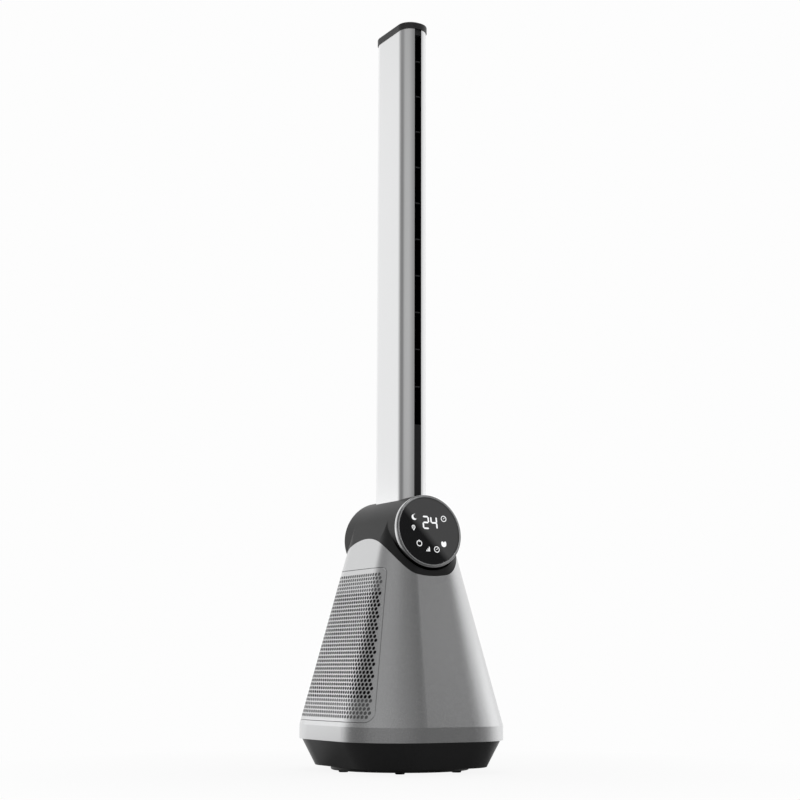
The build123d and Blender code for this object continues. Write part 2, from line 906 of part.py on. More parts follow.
with BuildPart() as blades:
    for blade in range(blade_count):
        turn = 360 / blade_count * blade
        for height, lead in ((impeller_bottom, 0), (impeller_top, blade_twist)):
            with BuildSketch(Plane.XY.offset(height).rotated((0, 0, turn + lead))):
                with Locations((casing_outlet_radius / 2 + hub_inlet_radius / 2, 0)):
                    Rectangle(casing_outlet_radius, blade_thickness)
        loft(ruled=True)
    add(blade_space.part, mode=Mode.INTERSECT)

with BuildPart() as impeller:
    with BuildSketch(Plane.XZ):
        with BuildLine():
            ThreePointArc(
                (hub_inlet_radius, impeller_bottom),
                hub_middle,
                (hub_outlet_radius, impeller_top),
            )
            Line((hub_outlet_radius, impeller_top), (hub_outlet_radius - hub_shell, impeller_top))
            ThreePointArc(
                (hub_outlet_radius - hub_shell, impeller_top),
                (hub_middle[0] - hub_shell, hub_middle[1] + hub_shell),
                (hub_boss_radius, impeller_bottom + 2 * hub_shell),
            )
            Polyline(
                (hub_boss_radius, impeller_bottom + 2 * hub_shell),
                (hub_boss_radius, impeller_top),
                (motor_shaft_radius, impeller_top),
                (motor_shaft_radius, impeller_bottom),
                (hub_inlet_radius, impeller_bottom),
            )
        make_face()
    revolve(axis=Axis.Z)
    add(blades.part)
finish(impeller, "impeller")

with BuildPart() as motor_shaft:
    with BuildSketch(Plane.XY.offset(impeller_bottom - 5)):
        Circle(motor_shaft_radius)
    extrude(amount=motor_bottom + shaft_bore_depth - seat_clearance - impeller_bottom + 5)
finish(motor_shaft, "motor_shaft")

with BuildPart() as impeller_nut:
    with BuildSketch(Plane.XY.offset(impeller_bottom - 4)):
        RegularPolygon(hub_boss_radius - 1, 6)
        Circle(motor_shaft_radius + running_clearance, mode=Mode.SUBTRACT)
    extrude(amount=4)
finish(impeller_nut, "impeller_nut")

with BuildPart() as diffuser:
    with BuildSketch(Plane.XZ):
        with BuildLine():
            Polyline(
                (casing_outlet_radius, casing_top + contact_gap),
                (casing_outlet_radius + flange_width, casing_top + contact_gap),
                (casing_outlet_radius + flange_width, casing_top + flange_thickness),
                (casing_outlet_radius + shroud_wall, casing_top + flange_thickness),
                (diffuser_outlet_radius + shroud_wall, diffuser_top),
                (diffuser_outlet_radius, diffuser_top),
                close=True,
            )
        make_face()
    revolve(axis=Axis.Z)
    # guide vanes, from the motor pod out to the casing
    vane_bottom = pod_bottom + 6
    vane_top = motor_top - 4
    vane_reach = casing_outlet_radius - (vane_top - casing_top) * (
        casing_outlet_radius - diffuser_outlet_radius
    ) / (diffuser_top - casing_top)
    vane_length = vane_reach - motor_radius
    for vane in range(vane_count):
        turn = 360 / vane_count * vane
        for height, lead in ((vane_bottom, 0), (vane_top, vane_twist)):
            with BuildSketch(Plane.XY.offset(height).rotated((0, 0, turn + lead))):
                with Locations((motor_radius + 1 + vane_length / 2, 0)):
                    Rectangle(vane_length, vane_thickness)
        loft(ruled=True)
    with BuildSketch(Plane.XY.offset(pod_bottom)):
        Circle(motor_radius + seat_clearance + pod_wall)
    extrude(amount=motor_top - pod_bottom)
    with BuildSketch(Plane.XY.offset(motor_bottom)):
        Circle(motor_radius + seat_clearance)
    extrude(amount=motor_height, mode=Mode.SUBTRACT)
    with BuildSketch(Plane.XY.offset(pod_bottom)):
        Circle(hub_boss_radius)
    extrude(amount=pod_wall, mode=Mode.SUBTRACT)
finish(diffuser, "diffuser")

with BuildPart() as blower_motor:
    with BuildSketch(Plane.XY.offset(motor_bottom)):
        Circle(motor_radius)
    extrude(amount=motor_height - contact_gap)
    chamfer(blower_motor.edges().filter_by(GeomType.CIRCLE), 1.5)
    with BuildSketch(Plane.XY.offset(motor_bottom)):
        Circle(motor_shaft_radius + running_clearance)
    extrude(amount=shaft_bore_depth, mode=Mode.SUBTRACT)
finish(blower_motor, "blower_motor")

with BuildPart() as tail_cone:
    with BuildSketch(Plane.XZ):
        with BuildLine():
            Polyline(
                (0, motor_top + contact_gap),
                (motor_radius + pod_wall, motor_top + contact_gap),
                (motor_radius + pod_wall, motor_top + 2),
                (motor_radius - 0.5, motor_top + tail_cone_height / 3),
                (motor_radius - 7, motor_top + 2 * tail_cone_height / 3),
                (tail_tip_radius, motor_top + tail_cone_height),
                (0, motor_top + tail_cone_height),
                close=True,
            )
        make_face()
    revolve(axis=Axis.Z)
finish(tail_cone, "tail_cone")

# ------------------------------------------------------------------ duct into the column
duct_outer = (column_width - 2, column_length - 2, column_corner - 1)


def duct_form(round_radius, width, length, corner, top):
    """A round-to-oval form from the diffuser up to a height."""
    with BuildPart() as form:
        with BuildSketch(Plane.XY.offset(diffuser_top + contact_gap)):
            Circle(round_radius)
        with BuildSketch(Plane.XY.offset(barrel_axis)):
            with Locations(column_centre):
                RectangleRounded(width, length, corner)
        loft()
        if top > barrel_axis:
            with BuildSketch(Plane.XY.offset(barrel_axis)):
                with Locations(column_centre):
                    RectangleRounded(width, length, corner)
            extrude(amount=top - barrel_axis)
    return form.part


with BuildPart() as riser_duct:
    add(duct_form(diffuser_outlet_radius + shroud_wall, *duct_outer, riser_top))
    add(
        duct_form(
            diffuser_outlet_radius,
            duct_outer[0] - 2 * duct_wall,
            duct_outer[1] - 2 * duct_wall,
            duct_outer[2] - duct_wall,
            riser_top,
        ),
        mode=Mode.SUBTRACT,
    )
finish(riser_duct, "riser_duct")

with BuildPart() as duct_seal:
    with BuildSketch(Plane.XY.offset(riser_top)):
        with Locations(column_centre):
            RectangleRounded(*duct_outer)
            RectangleRounded(
                duct_outer[0] - 2 * duct_wall,
                duct_outer[1] - 2 * duct_wall,
                duct_outer[2] - duct_wall,
                mode=Mode.SUBTRACT,
            )
    extrude(amount=seal_height)
finish(duct_seal, "duct_seal")

# ------------------------------------------------------------------ neck
rear_at_axis = outline_at(barrel_axis)[1] + rear_overhang
rear_plane = Plane(
    origin=(0, rear_at_axis, barrel_axis), x_dir=(1, 0, 0), z_dir=(0, 1, length_taper)
)
ring_back_plane = display_plane.offset(-ring_depth)
side_peak = saddle_crest + saddle_trough_radius - sqrt(saddle_trough_radius**2 - 51.2**2)
skirt_x = barrel_radius * cos(radians(skirt_angle))
skirt_z = barrel_axis + barrel_radius * sin(radians(skirt_angle))


def barrel_form(radius, rear, front=None):
    """A level round bar along the barrel's axis, cut off by a rear and a front plane."""
    with BuildPart() as form:
        with BuildSketch(Plane.XZ.offset(-barrel_reach)):
            with Locations((0, barrel_axis)):
                Circle(radius)
        extrude(amount=2 * barrel_reach)
        split(bisect_by=rear, keep=Keep.BOTTOM)
        if front:
            split(bisect_by=front, keep=Keep.BOTTOM)
    return form.part


def groove_form(grow=0.0):
    """The wedge-shaped groove between the barrel and the collar's front, turned about the axis."""
    start = groove_start - 2 * grow
    far = barrel_radius + groove_slope * (2 * barrel_reach - groove_start)
    with BuildPart() as form:
        with BuildSketch(Plane.YZ):
            with BuildLine():
                Polyline(
                    (-start, barrel_axis - barrel_radius - grow),
                    (-2 * barrel_reach, barrel_axis - far - grow),
                    (-2 * barrel_reach, barrel_axis - barrel_radius / 2),
                    (-start, barrel_axis - barrel_radius / 2),
                    close=True,
                )
            make_face()
        revolve(axis=Axis((0, 0, barrel_axis), (0, 1, 0)))
    return form.part


with BuildPart() as collar_cavity:
    add(body_slice(spigot_bottom, collar_cavity_top, collar_wall))
    add(barrel_form(barrel_radius, rear_plane), mode=Mode.SUBTRACT)
    add(groove_form(barrel_wall), mode=Mode.SUBTRACT)

with BuildPart() as collar:
    add(body_slice(spigot_bottom, form_top))
    add(above_saddle(seat_clearance), mode=Mode.INTERSECT)
    # the sides run straight from the seam to the barrel, where they touch it
    with BuildSketch(Plane.XZ.offset(-2 * barrel_reach)):
        with BuildLine():
            Polyline(
                (-body_half_width, spigot_bottom),
                (body_half_width, spigot_bottom),
                (outline_at(side_peak)[0], side_peak),
                (skirt_x, skirt_z),
                (-skirt_x, skirt_z),
                (-outline_at(side_peak)[0], side_peak),
                close=True,
            )
        make_face()
    extrude(amount=4 * barrel_reach, mode=Mode.INTERSECT)
    split(bisect_by=rear_plane, keep=Keep.BOTTOM)
    add(body_slice(spigot_bottom, spigot_top, tray_inset))
    add(groove_form(), mode=Mode.SUBTRACT)
    add(collar_cavity.part, mode=Mode.SUBTRACT)
    add(grille_prism(seat_clearance), mode=Mode.SUBTRACT)
    mirror(grille_prism(seat_clearance), about=Plane.YZ, mode=Mode.SUBTRACT)

with BuildPart() as column_socket:
    with BuildSketch(Plane.XY.offset(ledge_bottom)):
        with Locations(column_centre):
            RectangleRounded(
                column_width + 2 * (seat_clearance + socket_wall),
                column_length + 2 * (seat_clearance + socket_wall),
                column_corner + seat_clearance + socket_wall,
            )
    extrude(amount=barrel_top - ledge_bottom)
    add(barrel_form(barrel_radius - barrel_wall / 2, rear_plane), mode=Mode.INTERSECT)

with BuildPart() as neck_housing:
    add(barrel_form(barrel_radius, rear_plane, ring_back_plane))
    fillet(neck_housing.edges().sort_by(Axis.Y)[-1], barrel_rear_round)
    add(collar.part)
    add(
        barrel_form(barrel_radius - barrel_wall, rear_plane.offset(-barrel_wall)),
        mode=Mode.SUBTRACT,
    )
    add(
        duct_form(
            diffuser_outlet_radius + shroud_wall + duct_opening_gap,
            duct_outer[0] + 2 * duct_opening_gap,
            duct_outer[1] + 2 * duct_opening_gap,
            duct_outer[2] + duct_opening_gap,
            barrel_axis,
        ),
        mode=Mode.SUBTRACT,
    )
    add(column_socket.part)
    with BuildSketch(Plane.XY.offset(ledge_bottom)):
        with Locations(column_centre):
            RectangleRounded(
                duct_outer[0] - 2 * duct_wall,
                duct_outer[1] - 2 * duct_wall,
                duct_outer[2] - duct_wall,
            )
    extrude(amount=ledge_height, mode=Mode.SUBTRACT)
    with BuildSketch(Plane.XY.offset(ledge_bottom + ledge_height)):
        with Locations(column_centre):
            RectangleRounded(
                column_width + 2 * seat_clearance,
                column_length + 2 * seat_clearance,
                column_corner + seat_clearance,
            )
    extrude(amount=barrel_radius, mode=Mode.SUBTRACT)
finish(neck_housing, "neck_housing")

# ------------------------------------------------------------------ display
glass_seat = ring_rim_drop / 2 + glass_thickness
shelf_radius = barrel_radius - barrel_wall - seat_clearance - ring_spigot_wall
shelf_depth = glass_seat + contact_gap
glass_bore = glass_radius + seat_clearance


def ring_form(outer, inner, depth, thickness):
    """A flat ring on the display's axis whose front face is depth behind its face plane."""
    with BuildPart() as form:
        with BuildSketch(display_plane.offset(-depth)):
            Circle(outer)
            Circle(inner, mode=Mode.SUBTRACT)
        extrude(amount=-thickness)
    return form.part


with BuildPart() as ring_spigot:
    with BuildSketch(Plane.XZ):
        with Locations((0, barrel_axis)):
            Circle(shelf_radius + ring_spigot_wall)
            Circle(shelf_radius, mode=Mode.SUBTRACT)
    extrude(amount=barrel_reach)
    with BuildSketch(display_plane.offset(-ring_depth)):
        Circle(2 * ring_radius)
    extrude(amount=-ring_spigot_length, mode=Mode.INTERSECT)

with BuildPart() as bezel_ring:
    add(ring_form(ring_inner_lip, glass_bore, 0, ring_groove_depth))
    add(ring_form(ring_radius, ring_groove_outer, ring_rim_drop, ring_depth - ring_rim_drop))
    add(ring_form(ring_radius, glass_bore, ring_groove_depth, ring_depth - ring_groove_depth))
    add(ring_form(ring_radius, shelf_radius, shelf_depth, ring_depth - shelf_depth))
    add(ring_spigot.part)
finish(bezel_ring, "bezel_ring")

with BuildPart() as display_lens:
    with BuildSketch(display_plane.offset(-ring_rim_drop / 2)):
        Circle(glass_radius)
    extrude(amount=-glass_thickness)
    chamfer(display_lens.edges().filter_by(GeomType.CIRCLE).sort_by(Axis.Y)[0], 0.4)
finish(display_lens, "display_lens")

light_box_front = glass_seat + 2 * contact_gap
sign_places = ((-21, 17), (-23, 3), (22.5, 17), (-17.5, -16), (-5.5, -24), (8, -24), (19, -16.5))
chip_places = ((-12, 0), (12, -12))

with BuildPart() as light_box:
    with BuildSketch(display_plane.offset(-light_box_front)):
        Circle(light_box_radius)
        with Locations(digit_window_place):
            Rectangle(digit_window_width, digit_window_height, mode=Mode.SUBTRACT)
        with Locations(*sign_places):
            Rectangle(sign_window, sign_window, mode=Mode.SUBTRACT)
    extrude(amount=-light_box_depth)
finish(light_box, "light_box")

with BuildPart() as display_board:
    with BuildSketch(display_plane.offset(-light_box_front - light_box_depth - contact_gap)):
        Circle(light_box_radius)
    extrude(amount=-board_thickness)
    with BuildSketch(
        display_plane.offset(-light_box_front - light_box_depth - contact_gap - board_thickness)
    ):
        with Locations(*chip_places):
            Rectangle(chip_size, chip_size)
    extrude(amount=-chip_height)
finish(display_board, "display_board")

# ------------------------------------------------------------------ air column
nose_y = -column_forward - column_length / 2

with BuildPart() as column_shell:
    with BuildSketch(Plane.XY.offset(column_bottom)):
        with Locations(column_centre):
            RectangleRounded(column_width, column_length, column_corner)
            RectangleRounded(
                column_width - 2 * column_wall,
                column_length - 2 * column_wall,
                column_corner - column_wall,
                mode=Mode.SUBTRACT,
            )
        with Locations((0, nose_y)):
            Rectangle(2 * slot_half_width, 4 * column_wall, mode=Mode.SUBTRACT)
    extrude(amount=column_top - column_bottom)
finish(column_shell, "column_shell")

lip_x = slot_half_width - contact_gap
nozzle_front = nose_y + seat_clearance
nozzle_top = column_top - cap_spigot - seat_clearance

with BuildPart() as nozzle_insert:
    for side in (-1, 1):
        with BuildSketch(Plane.XY.offset(slot_bottom)):
            with BuildLine():
                Polyline(
                    (side * lip_x, nozzle_front),
                    (side * lip_x, nose_y + column_wall + seat_clearance),
                    (side * (lip_x + nozzle_flare), nozzle_front + nozzle_depth),
                    (side * (lip_x + nozzle_flare - nozzle_wall), nozzle_front + nozzle_depth),
                    (side * (lip_x - nozzle_wall), nozzle_front + column_wall),
                    (side * (lip_x - nozzle_wall), nozzle_front),
                    close=True,
                )
            make_face()
        extrude(amount=nozzle_top - slot_bottom)
    for rib in range(rib_count):
        rib_height = rib_first - rib * rib_pitch
        with BuildSketch(Plane.XY.offset(rib_height - rib_thickness / 2)):
            with Locations((0, nozzle_front + 1)):
                Rectangle(
                    2 * (lip_x - nozzle_wall / 2),
                    nozzle_depth * 0.7,
                    align=(Align.CENTER, Align.MIN),
                )
        extrude(amount=rib_thickness)
finish(nozzle_insert, "nozzle_insert")

with BuildPart() as blanking_strip:
    with BuildSketch(Plane.XY.offset(column_bottom)):
        with Locations((0, nozzle_front)):
            Rectangle(2 * lip_x, 2 * column_wall, align=(Align.CENTER, Align.MIN))
        with Locations((0, nose_y + 1.5 * column_wall)):
            Rectangle(3 * lip_x, column_wall, align=(Align.CENTER, Align.MIN))
    extrude(amount=slot_bottom - contact_gap - column_bottom)
finish(blanking_strip, "blanking_strip")

with BuildPart() as top_cap:
    with BuildSketch(Plane.XY.offset(column_top)):
        with Locations(column_centre):
            RectangleRounded(
                column_width + 2 * cap_overhang,
                column_length + 2 * cap_overhang,
                column_corner + cap_overhang,
            )
    extrude(amount=cap_height)
    fillet(top_cap.edges().group_by(Axis.Z)[-1], cap_round)
    with BuildSketch(Plane.XY.offset(column_top)):
        with Locations(column_centre):
            RectangleRounded(
                column_width - 2 * (column_wall + seat_clearance),
                column_length - 2 * (column_wall + seat_clearance),
                column_corner - column_wall - seat_clearance,
            )
    extrude(amount=-cap_spigot)
finish(top_cap, "top_cap")
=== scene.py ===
"""A bladeless tower fan, dressed and lit: finishes, fine detail, studio and camera.

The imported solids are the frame. Pieces that need finer detail than the solids carry, such as the
perforated intake panels, the display's ring and its signs, are built here in the same frame, in metres.
"""

from __future__ import annotations

import json
import logging
import math
from dataclasses import dataclass, field
from enum import Enum
from typing import Any, ClassVar, Iterable, Sequence

import bmesh
import bpy
from mathutils import Matrix, Vector
from mathutils.geometry import delaunay_2d_cdt

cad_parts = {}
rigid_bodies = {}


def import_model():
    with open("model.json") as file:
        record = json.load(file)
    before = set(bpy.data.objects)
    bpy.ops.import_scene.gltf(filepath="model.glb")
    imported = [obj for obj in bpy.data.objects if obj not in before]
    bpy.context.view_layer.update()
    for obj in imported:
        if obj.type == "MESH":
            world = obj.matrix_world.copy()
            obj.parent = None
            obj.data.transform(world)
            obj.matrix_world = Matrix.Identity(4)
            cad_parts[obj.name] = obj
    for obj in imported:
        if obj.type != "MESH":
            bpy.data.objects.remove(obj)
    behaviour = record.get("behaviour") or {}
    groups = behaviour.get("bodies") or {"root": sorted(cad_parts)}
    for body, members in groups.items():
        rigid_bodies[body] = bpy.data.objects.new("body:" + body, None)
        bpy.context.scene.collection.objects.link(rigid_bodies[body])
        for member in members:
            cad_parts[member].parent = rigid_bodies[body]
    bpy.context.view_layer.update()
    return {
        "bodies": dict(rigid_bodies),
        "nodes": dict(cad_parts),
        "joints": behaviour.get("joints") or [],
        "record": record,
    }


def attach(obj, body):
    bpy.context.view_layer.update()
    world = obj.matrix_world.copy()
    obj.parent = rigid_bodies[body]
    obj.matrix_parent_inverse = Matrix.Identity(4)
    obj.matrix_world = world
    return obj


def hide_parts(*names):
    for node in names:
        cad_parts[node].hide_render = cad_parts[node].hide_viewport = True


MM = 0.001
HOUSING = "housing"
Colour = tuple[float, float, float]
Flat = tuple[float, float]
Triple = tuple[float, float, float]

UP = Vector((0.0, 0.0, 1.0))
WHITE = (1.0, 1.0, 1.0)
SHARP_TURN = 32.0  # degrees: where faces turn by more than this, their edge is sharp
NEARLY_STRAIGHT = 89.0  # degrees: a corner whose half angle is wider isn't rounded
NOISE_ROUGHNESS = 0.55
TRIANGLE_TOLERANCE = 1e-5

log = logging.getLogger("tower_fan")


class Side(Enum):
    """The fan's two flanks, as the sign of X."""

    LEFT = -1
    RIGHT = 1

    @property
    def word(self) -> str:
        """The flank's name in piece names."""
        return self.name.lower()


# ---- shader maths
class Number:
    """A number socket: Python's operators on it add Math nodes."""

    def __init__(self, recipe: Recipe, socket: bpy.types.NodeSocket) -> None:
        """Wrap an output socket of a recipe's node."""
        self.recipe = recipe
        self.socket = socket

    def _with(self, operation: str, first: Any, second: Any) -> Number:
        """The result of a Math node on two operands, each a number or a Number."""
        return self.recipe.number("ShaderNodeMath", {"operation": operation}, {0: first, 1: second})

    def __add__(self, other: Any) -> Number:
        """Self plus other."""
        return self._with("ADD", self, other)

    __radd__ = __add__

    def __sub__(self, other: Any) -> Number:
        """Self minus other."""
        return self._with("SUBTRACT", self, other)

    def __rsub__(self, other: Any) -> Number:
        """Other minus self."""
        return self._with("SUBTRACT", other, self)

    def __mul__(self, other: Any) -> Number:
        """Self times other."""
        return self._with("MULTIPLY", self, other)

    __rmul__ = __mul__

    def __truediv__(self, other: Any) -> Number:
        """Self over other."""
        return self._with("DIVIDE", self, other)

    def __gt__(self, other: Any) -> Number:
        """One where self is greater than other, else zero."""
        return self._with("GREATER_THAN", self, other)

    def __lt__(self, other: Any) -> Number:
        """One where self is less than other, else zero."""
        return self._with("LESS_THAN", self, other)

    def within(self, low: float, high: float) -> Number:
        """Self's share of the way from low to high, held between 0 and 1."""
        ends = {0: self, 1: low, 2: high, 3: 0.0, 4: 1.0}
        return self.recipe.number("ShaderNodeMapRange", {"clamp": True}, ends)


class Recipe:
    """A node tree under construction, for a material or the world."""

    def __init__(self, tree: bpy.types.NodeTree) -> None:
        """Clear a tree and start on it."""
        self.tree = tree
        self.tree.nodes.clear()

    def node(self, kind: str, settings: dict[str, Any], inputs: dict[Any, Any]) -> bpy.types.Node:
        """Add a node, set its settings and then its sockets.

        Args:
            kind: The node's type.
            settings: Attribute names and values; "stops" gives a ramp's places and colours.
            inputs: Socket names or numbers, and what goes into them: a value, a socket or a Number.

        Returns:
            The node.
        """
        made = self.tree.nodes.new(kind)
        for name, value in settings.items():
            if name == "stops":
                self._set_stops(made, value)
            else:
                setattr(made, name, value)
        for name, value in inputs.items():
            socket = made.inputs[name]
            if isinstance(value, Number):
                self.tree.links.new(value.socket, socket)
            elif isinstance(value, bpy.types.NodeSocket):
                self.tree.links.new(value, socket)
            elif socket.type == "RGBA" and len(value) == 3:
                socket.default_value = (*value, 1.0)
            else:
                socket.default_value = value
        return made

    @staticmethod
    def _set_stops(ramp: bpy.types.Node, stops: Sequence[tuple[float, Colour]]) -> None:
        """Give a colour ramp its stops.

        Args:
            ramp: The Color Ramp node.
            stops: Each stop's place from 0 to 1 and its colour.
        """
        elements = ramp.color_ramp.elements
        while len(elements) > 1:
            elements.remove(elements[-1])
        elements[0].position = stops[0][0]
        elements[0].color = (*stops[0][1], 1.0)
        for place, colour in stops[1:]:
            stop = elements.new(place)
            stop.color = (*colour, 1.0)

    def number(
        self, kind: str, settings: dict[str, Any], inputs: dict[Any, Any], output: int | str = 0
    ) -> Number:
        """Add a node and wrap one of its outputs."""
        return Number(self, self.node(kind, settings, inputs).outputs[output])

    def place(self) -> bpy.types.NodeSocket:
        """The point on the object, in metres in the fan's own frame."""
        return self.node("ShaderNodeTexCoord", {}, {}).outputs["Object"]

    def ray(self, kind: str) -> Number:
        """One for rays of a kind, such as Camera, else zero."""
        return self.number("ShaderNodeLightPath", {}, {}, f"Is {kind} Ray")

    def along(self, way: bpy.types.NodeSocket, direction: Vector) -> Number:
        """How far a vector goes along a direction."""
        ends = {0: way, 1: tuple(direction)}
        return self.number("ShaderNodeVectorMath", {"operation": "DOT_PRODUCT"}, ends, "Value")

    def noise(self, scale: float, detail: float, stretch: Triple = (1.0, 1.0, 1.0)) -> Number:
        """Soft noise from about 0 to 1.

        Args:
            scale: Blotches per metre.
            detail: How many finer layers are added.
            stretch: How much denser the noise is along X, Y and Z.

        Returns:
            The noise's value.
        """
        mapped = self.node("ShaderNodeMapping", {}, {"Vector": self.place(), "Scale": stretch})
        inputs = {
            "Vector": mapped.outputs[0],
            "Scale": scale,
            "Detail": detail,
            "Roughness": NOISE_ROUGHNESS,
        }
        return self.number("ShaderNodeTexNoise", {"noise_dimensions": "3D"}, inputs, "Fac")

    def blend(self, share: Any, first: Any, second: Any) -> bpy.types.NodeSocket:
        """A colour that goes from the first to the second as the share goes from 0 to 1."""
        # an RGBA Mix node has its factor at 0, its colours at 6 and 7 and its result at 2
        mix = self.node("ShaderNodeMix", {"data_type": "RGBA"}, {0: share, 6: first, 7: second})
        return mix.outputs[2]

    def bump(self, height: Number, depth: float, strength: float) -> bpy.types.NodeSocket:
        """A normal bumped by a relief from 0 to 1, whose depth is in metres."""
        inputs = {"Strength": strength, "Distance": depth, "Height": height}
        return self.node("ShaderNodeBump", {}, inputs).outputs["Normal"]

    def finish_with(self, sockets: dict[str, Any]) -> None:
        """End the tree with a Principled shader that has these sockets."""
        shader = self.node("ShaderNodeBsdfPrincipled", {}, sockets)
        self.node("ShaderNodeOutputMaterial", {}, {"Surface": shader.outputs[0]})


# ---- finishes
def shade(colour: Colour, factor: float) -> Colour:
    """A colour made lighter or darker by a factor."""
    return tuple(min(1.0, channel * factor) for channel in colour)


class Finish:
    """A surface finish. Subclasses fill the recipe; each finish makes one material, once."""

    name: str
    colour: Colour
    roughness: float
    made: ClassVar[dict[str, bpy.types.Material]] = {}

    def fill(self, recipe: Recipe) -> None:
        """Write the finish's nodes.

        Args:
            recipe: The empty node tree of the material.
        """
        raise NotImplementedError

    def tones(self, recipe: Recipe, share: Number, low: float, high: float) -> bpy.types.NodeSocket:
        """The finish's colour, from low to high times as light as a share goes from 0 to 1."""
        return recipe.blend(share, shade(self.colour, low), shade(self.colour, high))

    def rough(self, *patterns: tuple[Number, float]) -> Number:
        """The finish's roughness, varied evenly about its own value.

        Args:
            patterns: Patterns from 0 to 1, each with how far it spreads the roughness.

        Returns:
            The roughness.
        """
        level: Any = self.roughness - sum(spread for _, spread in patterns) / 2.0
        for pattern, spread in patterns:
            level = pattern * spread + level
        return level

    def material(self) -> bpy.types.Material:
        """The finish's material, made the first time that it is asked for.

        Returns:
            The material.
        """
        found = self.made.get(self.name)
        if found is None:
            found = bpy.data.materials.new(self.name)
            found.use_nodes = True
            self.fill(Recipe(found.node_tree))
            self.made[self.name] = found
        return found


@dataclass(frozen=True)
class MetallicLacquer(Finish):
    """Silver lacquer: fine metal flakes under a satin clear coat."""

    name: str = "silver_lacquer"
    colour: Colour = (0.66, 0.663, 0.668)
    roughness: float = 0.26
    metallic: float = 0.96
    ior: float = 1.5
    flake: float = 2600.0
    flake_tone: float = 0.10
    flake_spread: float = 0.08
    flake_height: float = 0.00002
    flake_strength: float = 0.25
    cloud: float = 9.0
    cloud_tone: float = 0.03
    cloud_spread: float = 0.04

    def fill(self, recipe: Recipe) -> None:
        """Write the lacquer's nodes.

        Args:
            recipe: The empty node tree of the material.
        """
        flakes = recipe.noise(self.flake, detail=1.0)
        cloud = recipe.noise(self.cloud, detail=3.0)
        tone = flakes * self.flake_tone + cloud * self.cloud_tone
        share = tone / (self.flake_tone + self.cloud_tone)
        recipe.finish_with(
            {
                "Base Color": self.tones(recipe, share, 1.0 - self.flake_tone, 1.0 + self.flake_tone),
                "Metallic": self.metallic,
                "Roughness": self.rough((flakes, self.flake_spread), (cloud, self.cloud_spread)),
                "Normal": recipe.bump(flakes, self.flake_height, self.flake_strength),
                "IOR": self.ior,
            }
        )


@dataclass(frozen=True)
class DrawnMetal(Finish):
    """Anodised or brushed metal whose fine lines run one way."""

    name: str
    colour: Colour
    roughness: float
    lines: Triple
    density: float
    line_tone: float
    line_spread: float = 0.06
    line_height: float = 0.00001
    line_strength: float = 0.2
    cloud: float = 7.0
    cloud_spread: float = 0.04

    def fill(self, recipe: Recipe) -> None:
        """Write the metal's nodes.

        Args:
            recipe: The empty node tree of the material.
        """
        grain = recipe.noise(self.density, detail=2.0, stretch=self.lines)
        cloud = recipe.noise(self.cloud, detail=2.0)
        recipe.finish_with(
            {
                "Base Color": self.tones(recipe, grain, 1.0 - self.line_tone, 1.0 + self.line_tone),
                "Metallic": 1.0,
                "Roughness": self.rough((grain, self.line_spread), (cloud, self.cloud_spread)),
                "Normal": recipe.bump(grain, self.line_height, self.line_strength),
            }
        )


@dataclass(frozen=True)
class Moulding(Finish):
    """Moulded plastic or rubber with a fine spark-eroded texture."""

    name: str
    colour: Colour
    roughness: float
    texture: float = 1500.0
    texture_depth: float = 0.00003
    strength: float = 0.3
    mottle: float = 0.06
    ior: float = 1.49
    texture_share: float = 0.6
    texture_spread: float = 0.08
    cloud: float = 14.0
    cloud_spread: float = 0.06

    def fill(self, recipe: Recipe) -> None:
        """Write the moulding's nodes.

        Args:
            recipe: The empty node tree of the material.
        """
        texture = recipe.noise(self.texture, detail=3.0)
        cloud = recipe.noise(self.cloud, detail=3.0)
        mottle = texture * self.texture_share + cloud * (1.0 - self.texture_share)
        recipe.finish_with(
            {
                "Base Color": self.tone(recipe, mottle),
                "Roughness": self.rough((texture, self.texture_spread), (cloud, self.cloud_spread)),
                "Normal": recipe.bump(texture, self.texture_depth, self.strength),
                "IOR": self.ior,
            }
        )

    def tone(self, recipe: Recipe, mottle: Number) -> bpy.types.NodeSocket:
        """The moulding's colour, by its mottling from 0 to 1."""
        return self.tones(recipe, mottle, 1.0 - self.mottle, 1.0 + self.mottle)


@dataclass(frozen=True)
class SlotMoulding(Moulding):
    """The air slot's matt black moulding, with painted light on its ribs' front faces: grey there as if
    lit. Places in metres.
    """

    name: str = "slot_matt"
    colour: Colour = (0.002, 0.002, 0.002)
    roughness: float = 0.7
    ior: float = 1.15
    # painted light: the grey that stands in for light falling on the ribs' front faces
    rib_painted_light: Colour = (0.05, 0.05, 0.052)
    rib_half_width: float = 0.004
    rib_front: float = -0.0402

    def tone(self, recipe: Recipe, mottle: Number) -> bpy.types.NodeSocket:
        """The moulding's colour, with painted light: grey between the slot's lips and in front of the
        ribs' front line, as if the ribs' fronts were lit.

        Args:
            recipe: The material's node tree.
            mottle: The mottling, from 0 to 1.

        Returns:
            The colour's socket.
        """
        split = recipe.node("ShaderNodeSeparateXYZ", {}, {0: recipe.place()})
        across = Number(recipe, split.outputs["X"])
        along = Number(recipe, split.outputs["Y"])
        between = (across < self.rib_half_width) * (across > -self.rib_half_width)
        # painted light: the ribs' front faces are made grey as if lit
        lit_rib_face = between * (along < self.rib_front)
        return recipe.blend(lit_rib_face, super().tone(recipe, mottle), self.rib_painted_light)


@dataclass(frozen=True)
class SmokedGlass(Finish):
    """The display's black window: polished, with faint smears in its gloss."""

    name: str = "smoked_glass"
    colour: Colour = (0.004, 0.004, 0.005)
    roughness: float = 0.006
    ior: float = 1.8
    smear: float = 60.0
    smear_tone: float = 1.3
    smear_spread: float = 0.01

    def fill(self, recipe: Recipe) -> None:
        """Write the glass's nodes.

        Args:
            recipe: The empty node tree of the material.
        """
        smear = recipe.noise(self.smear, detail=4.0)
        recipe.finish_with(
            {
                "Base Color": self.tones(recipe, smear, 1.0, self.smear_tone),
                "Roughness": self.rough((smear, self.smear_spread)),
                "IOR": self.ior,
            }
        )


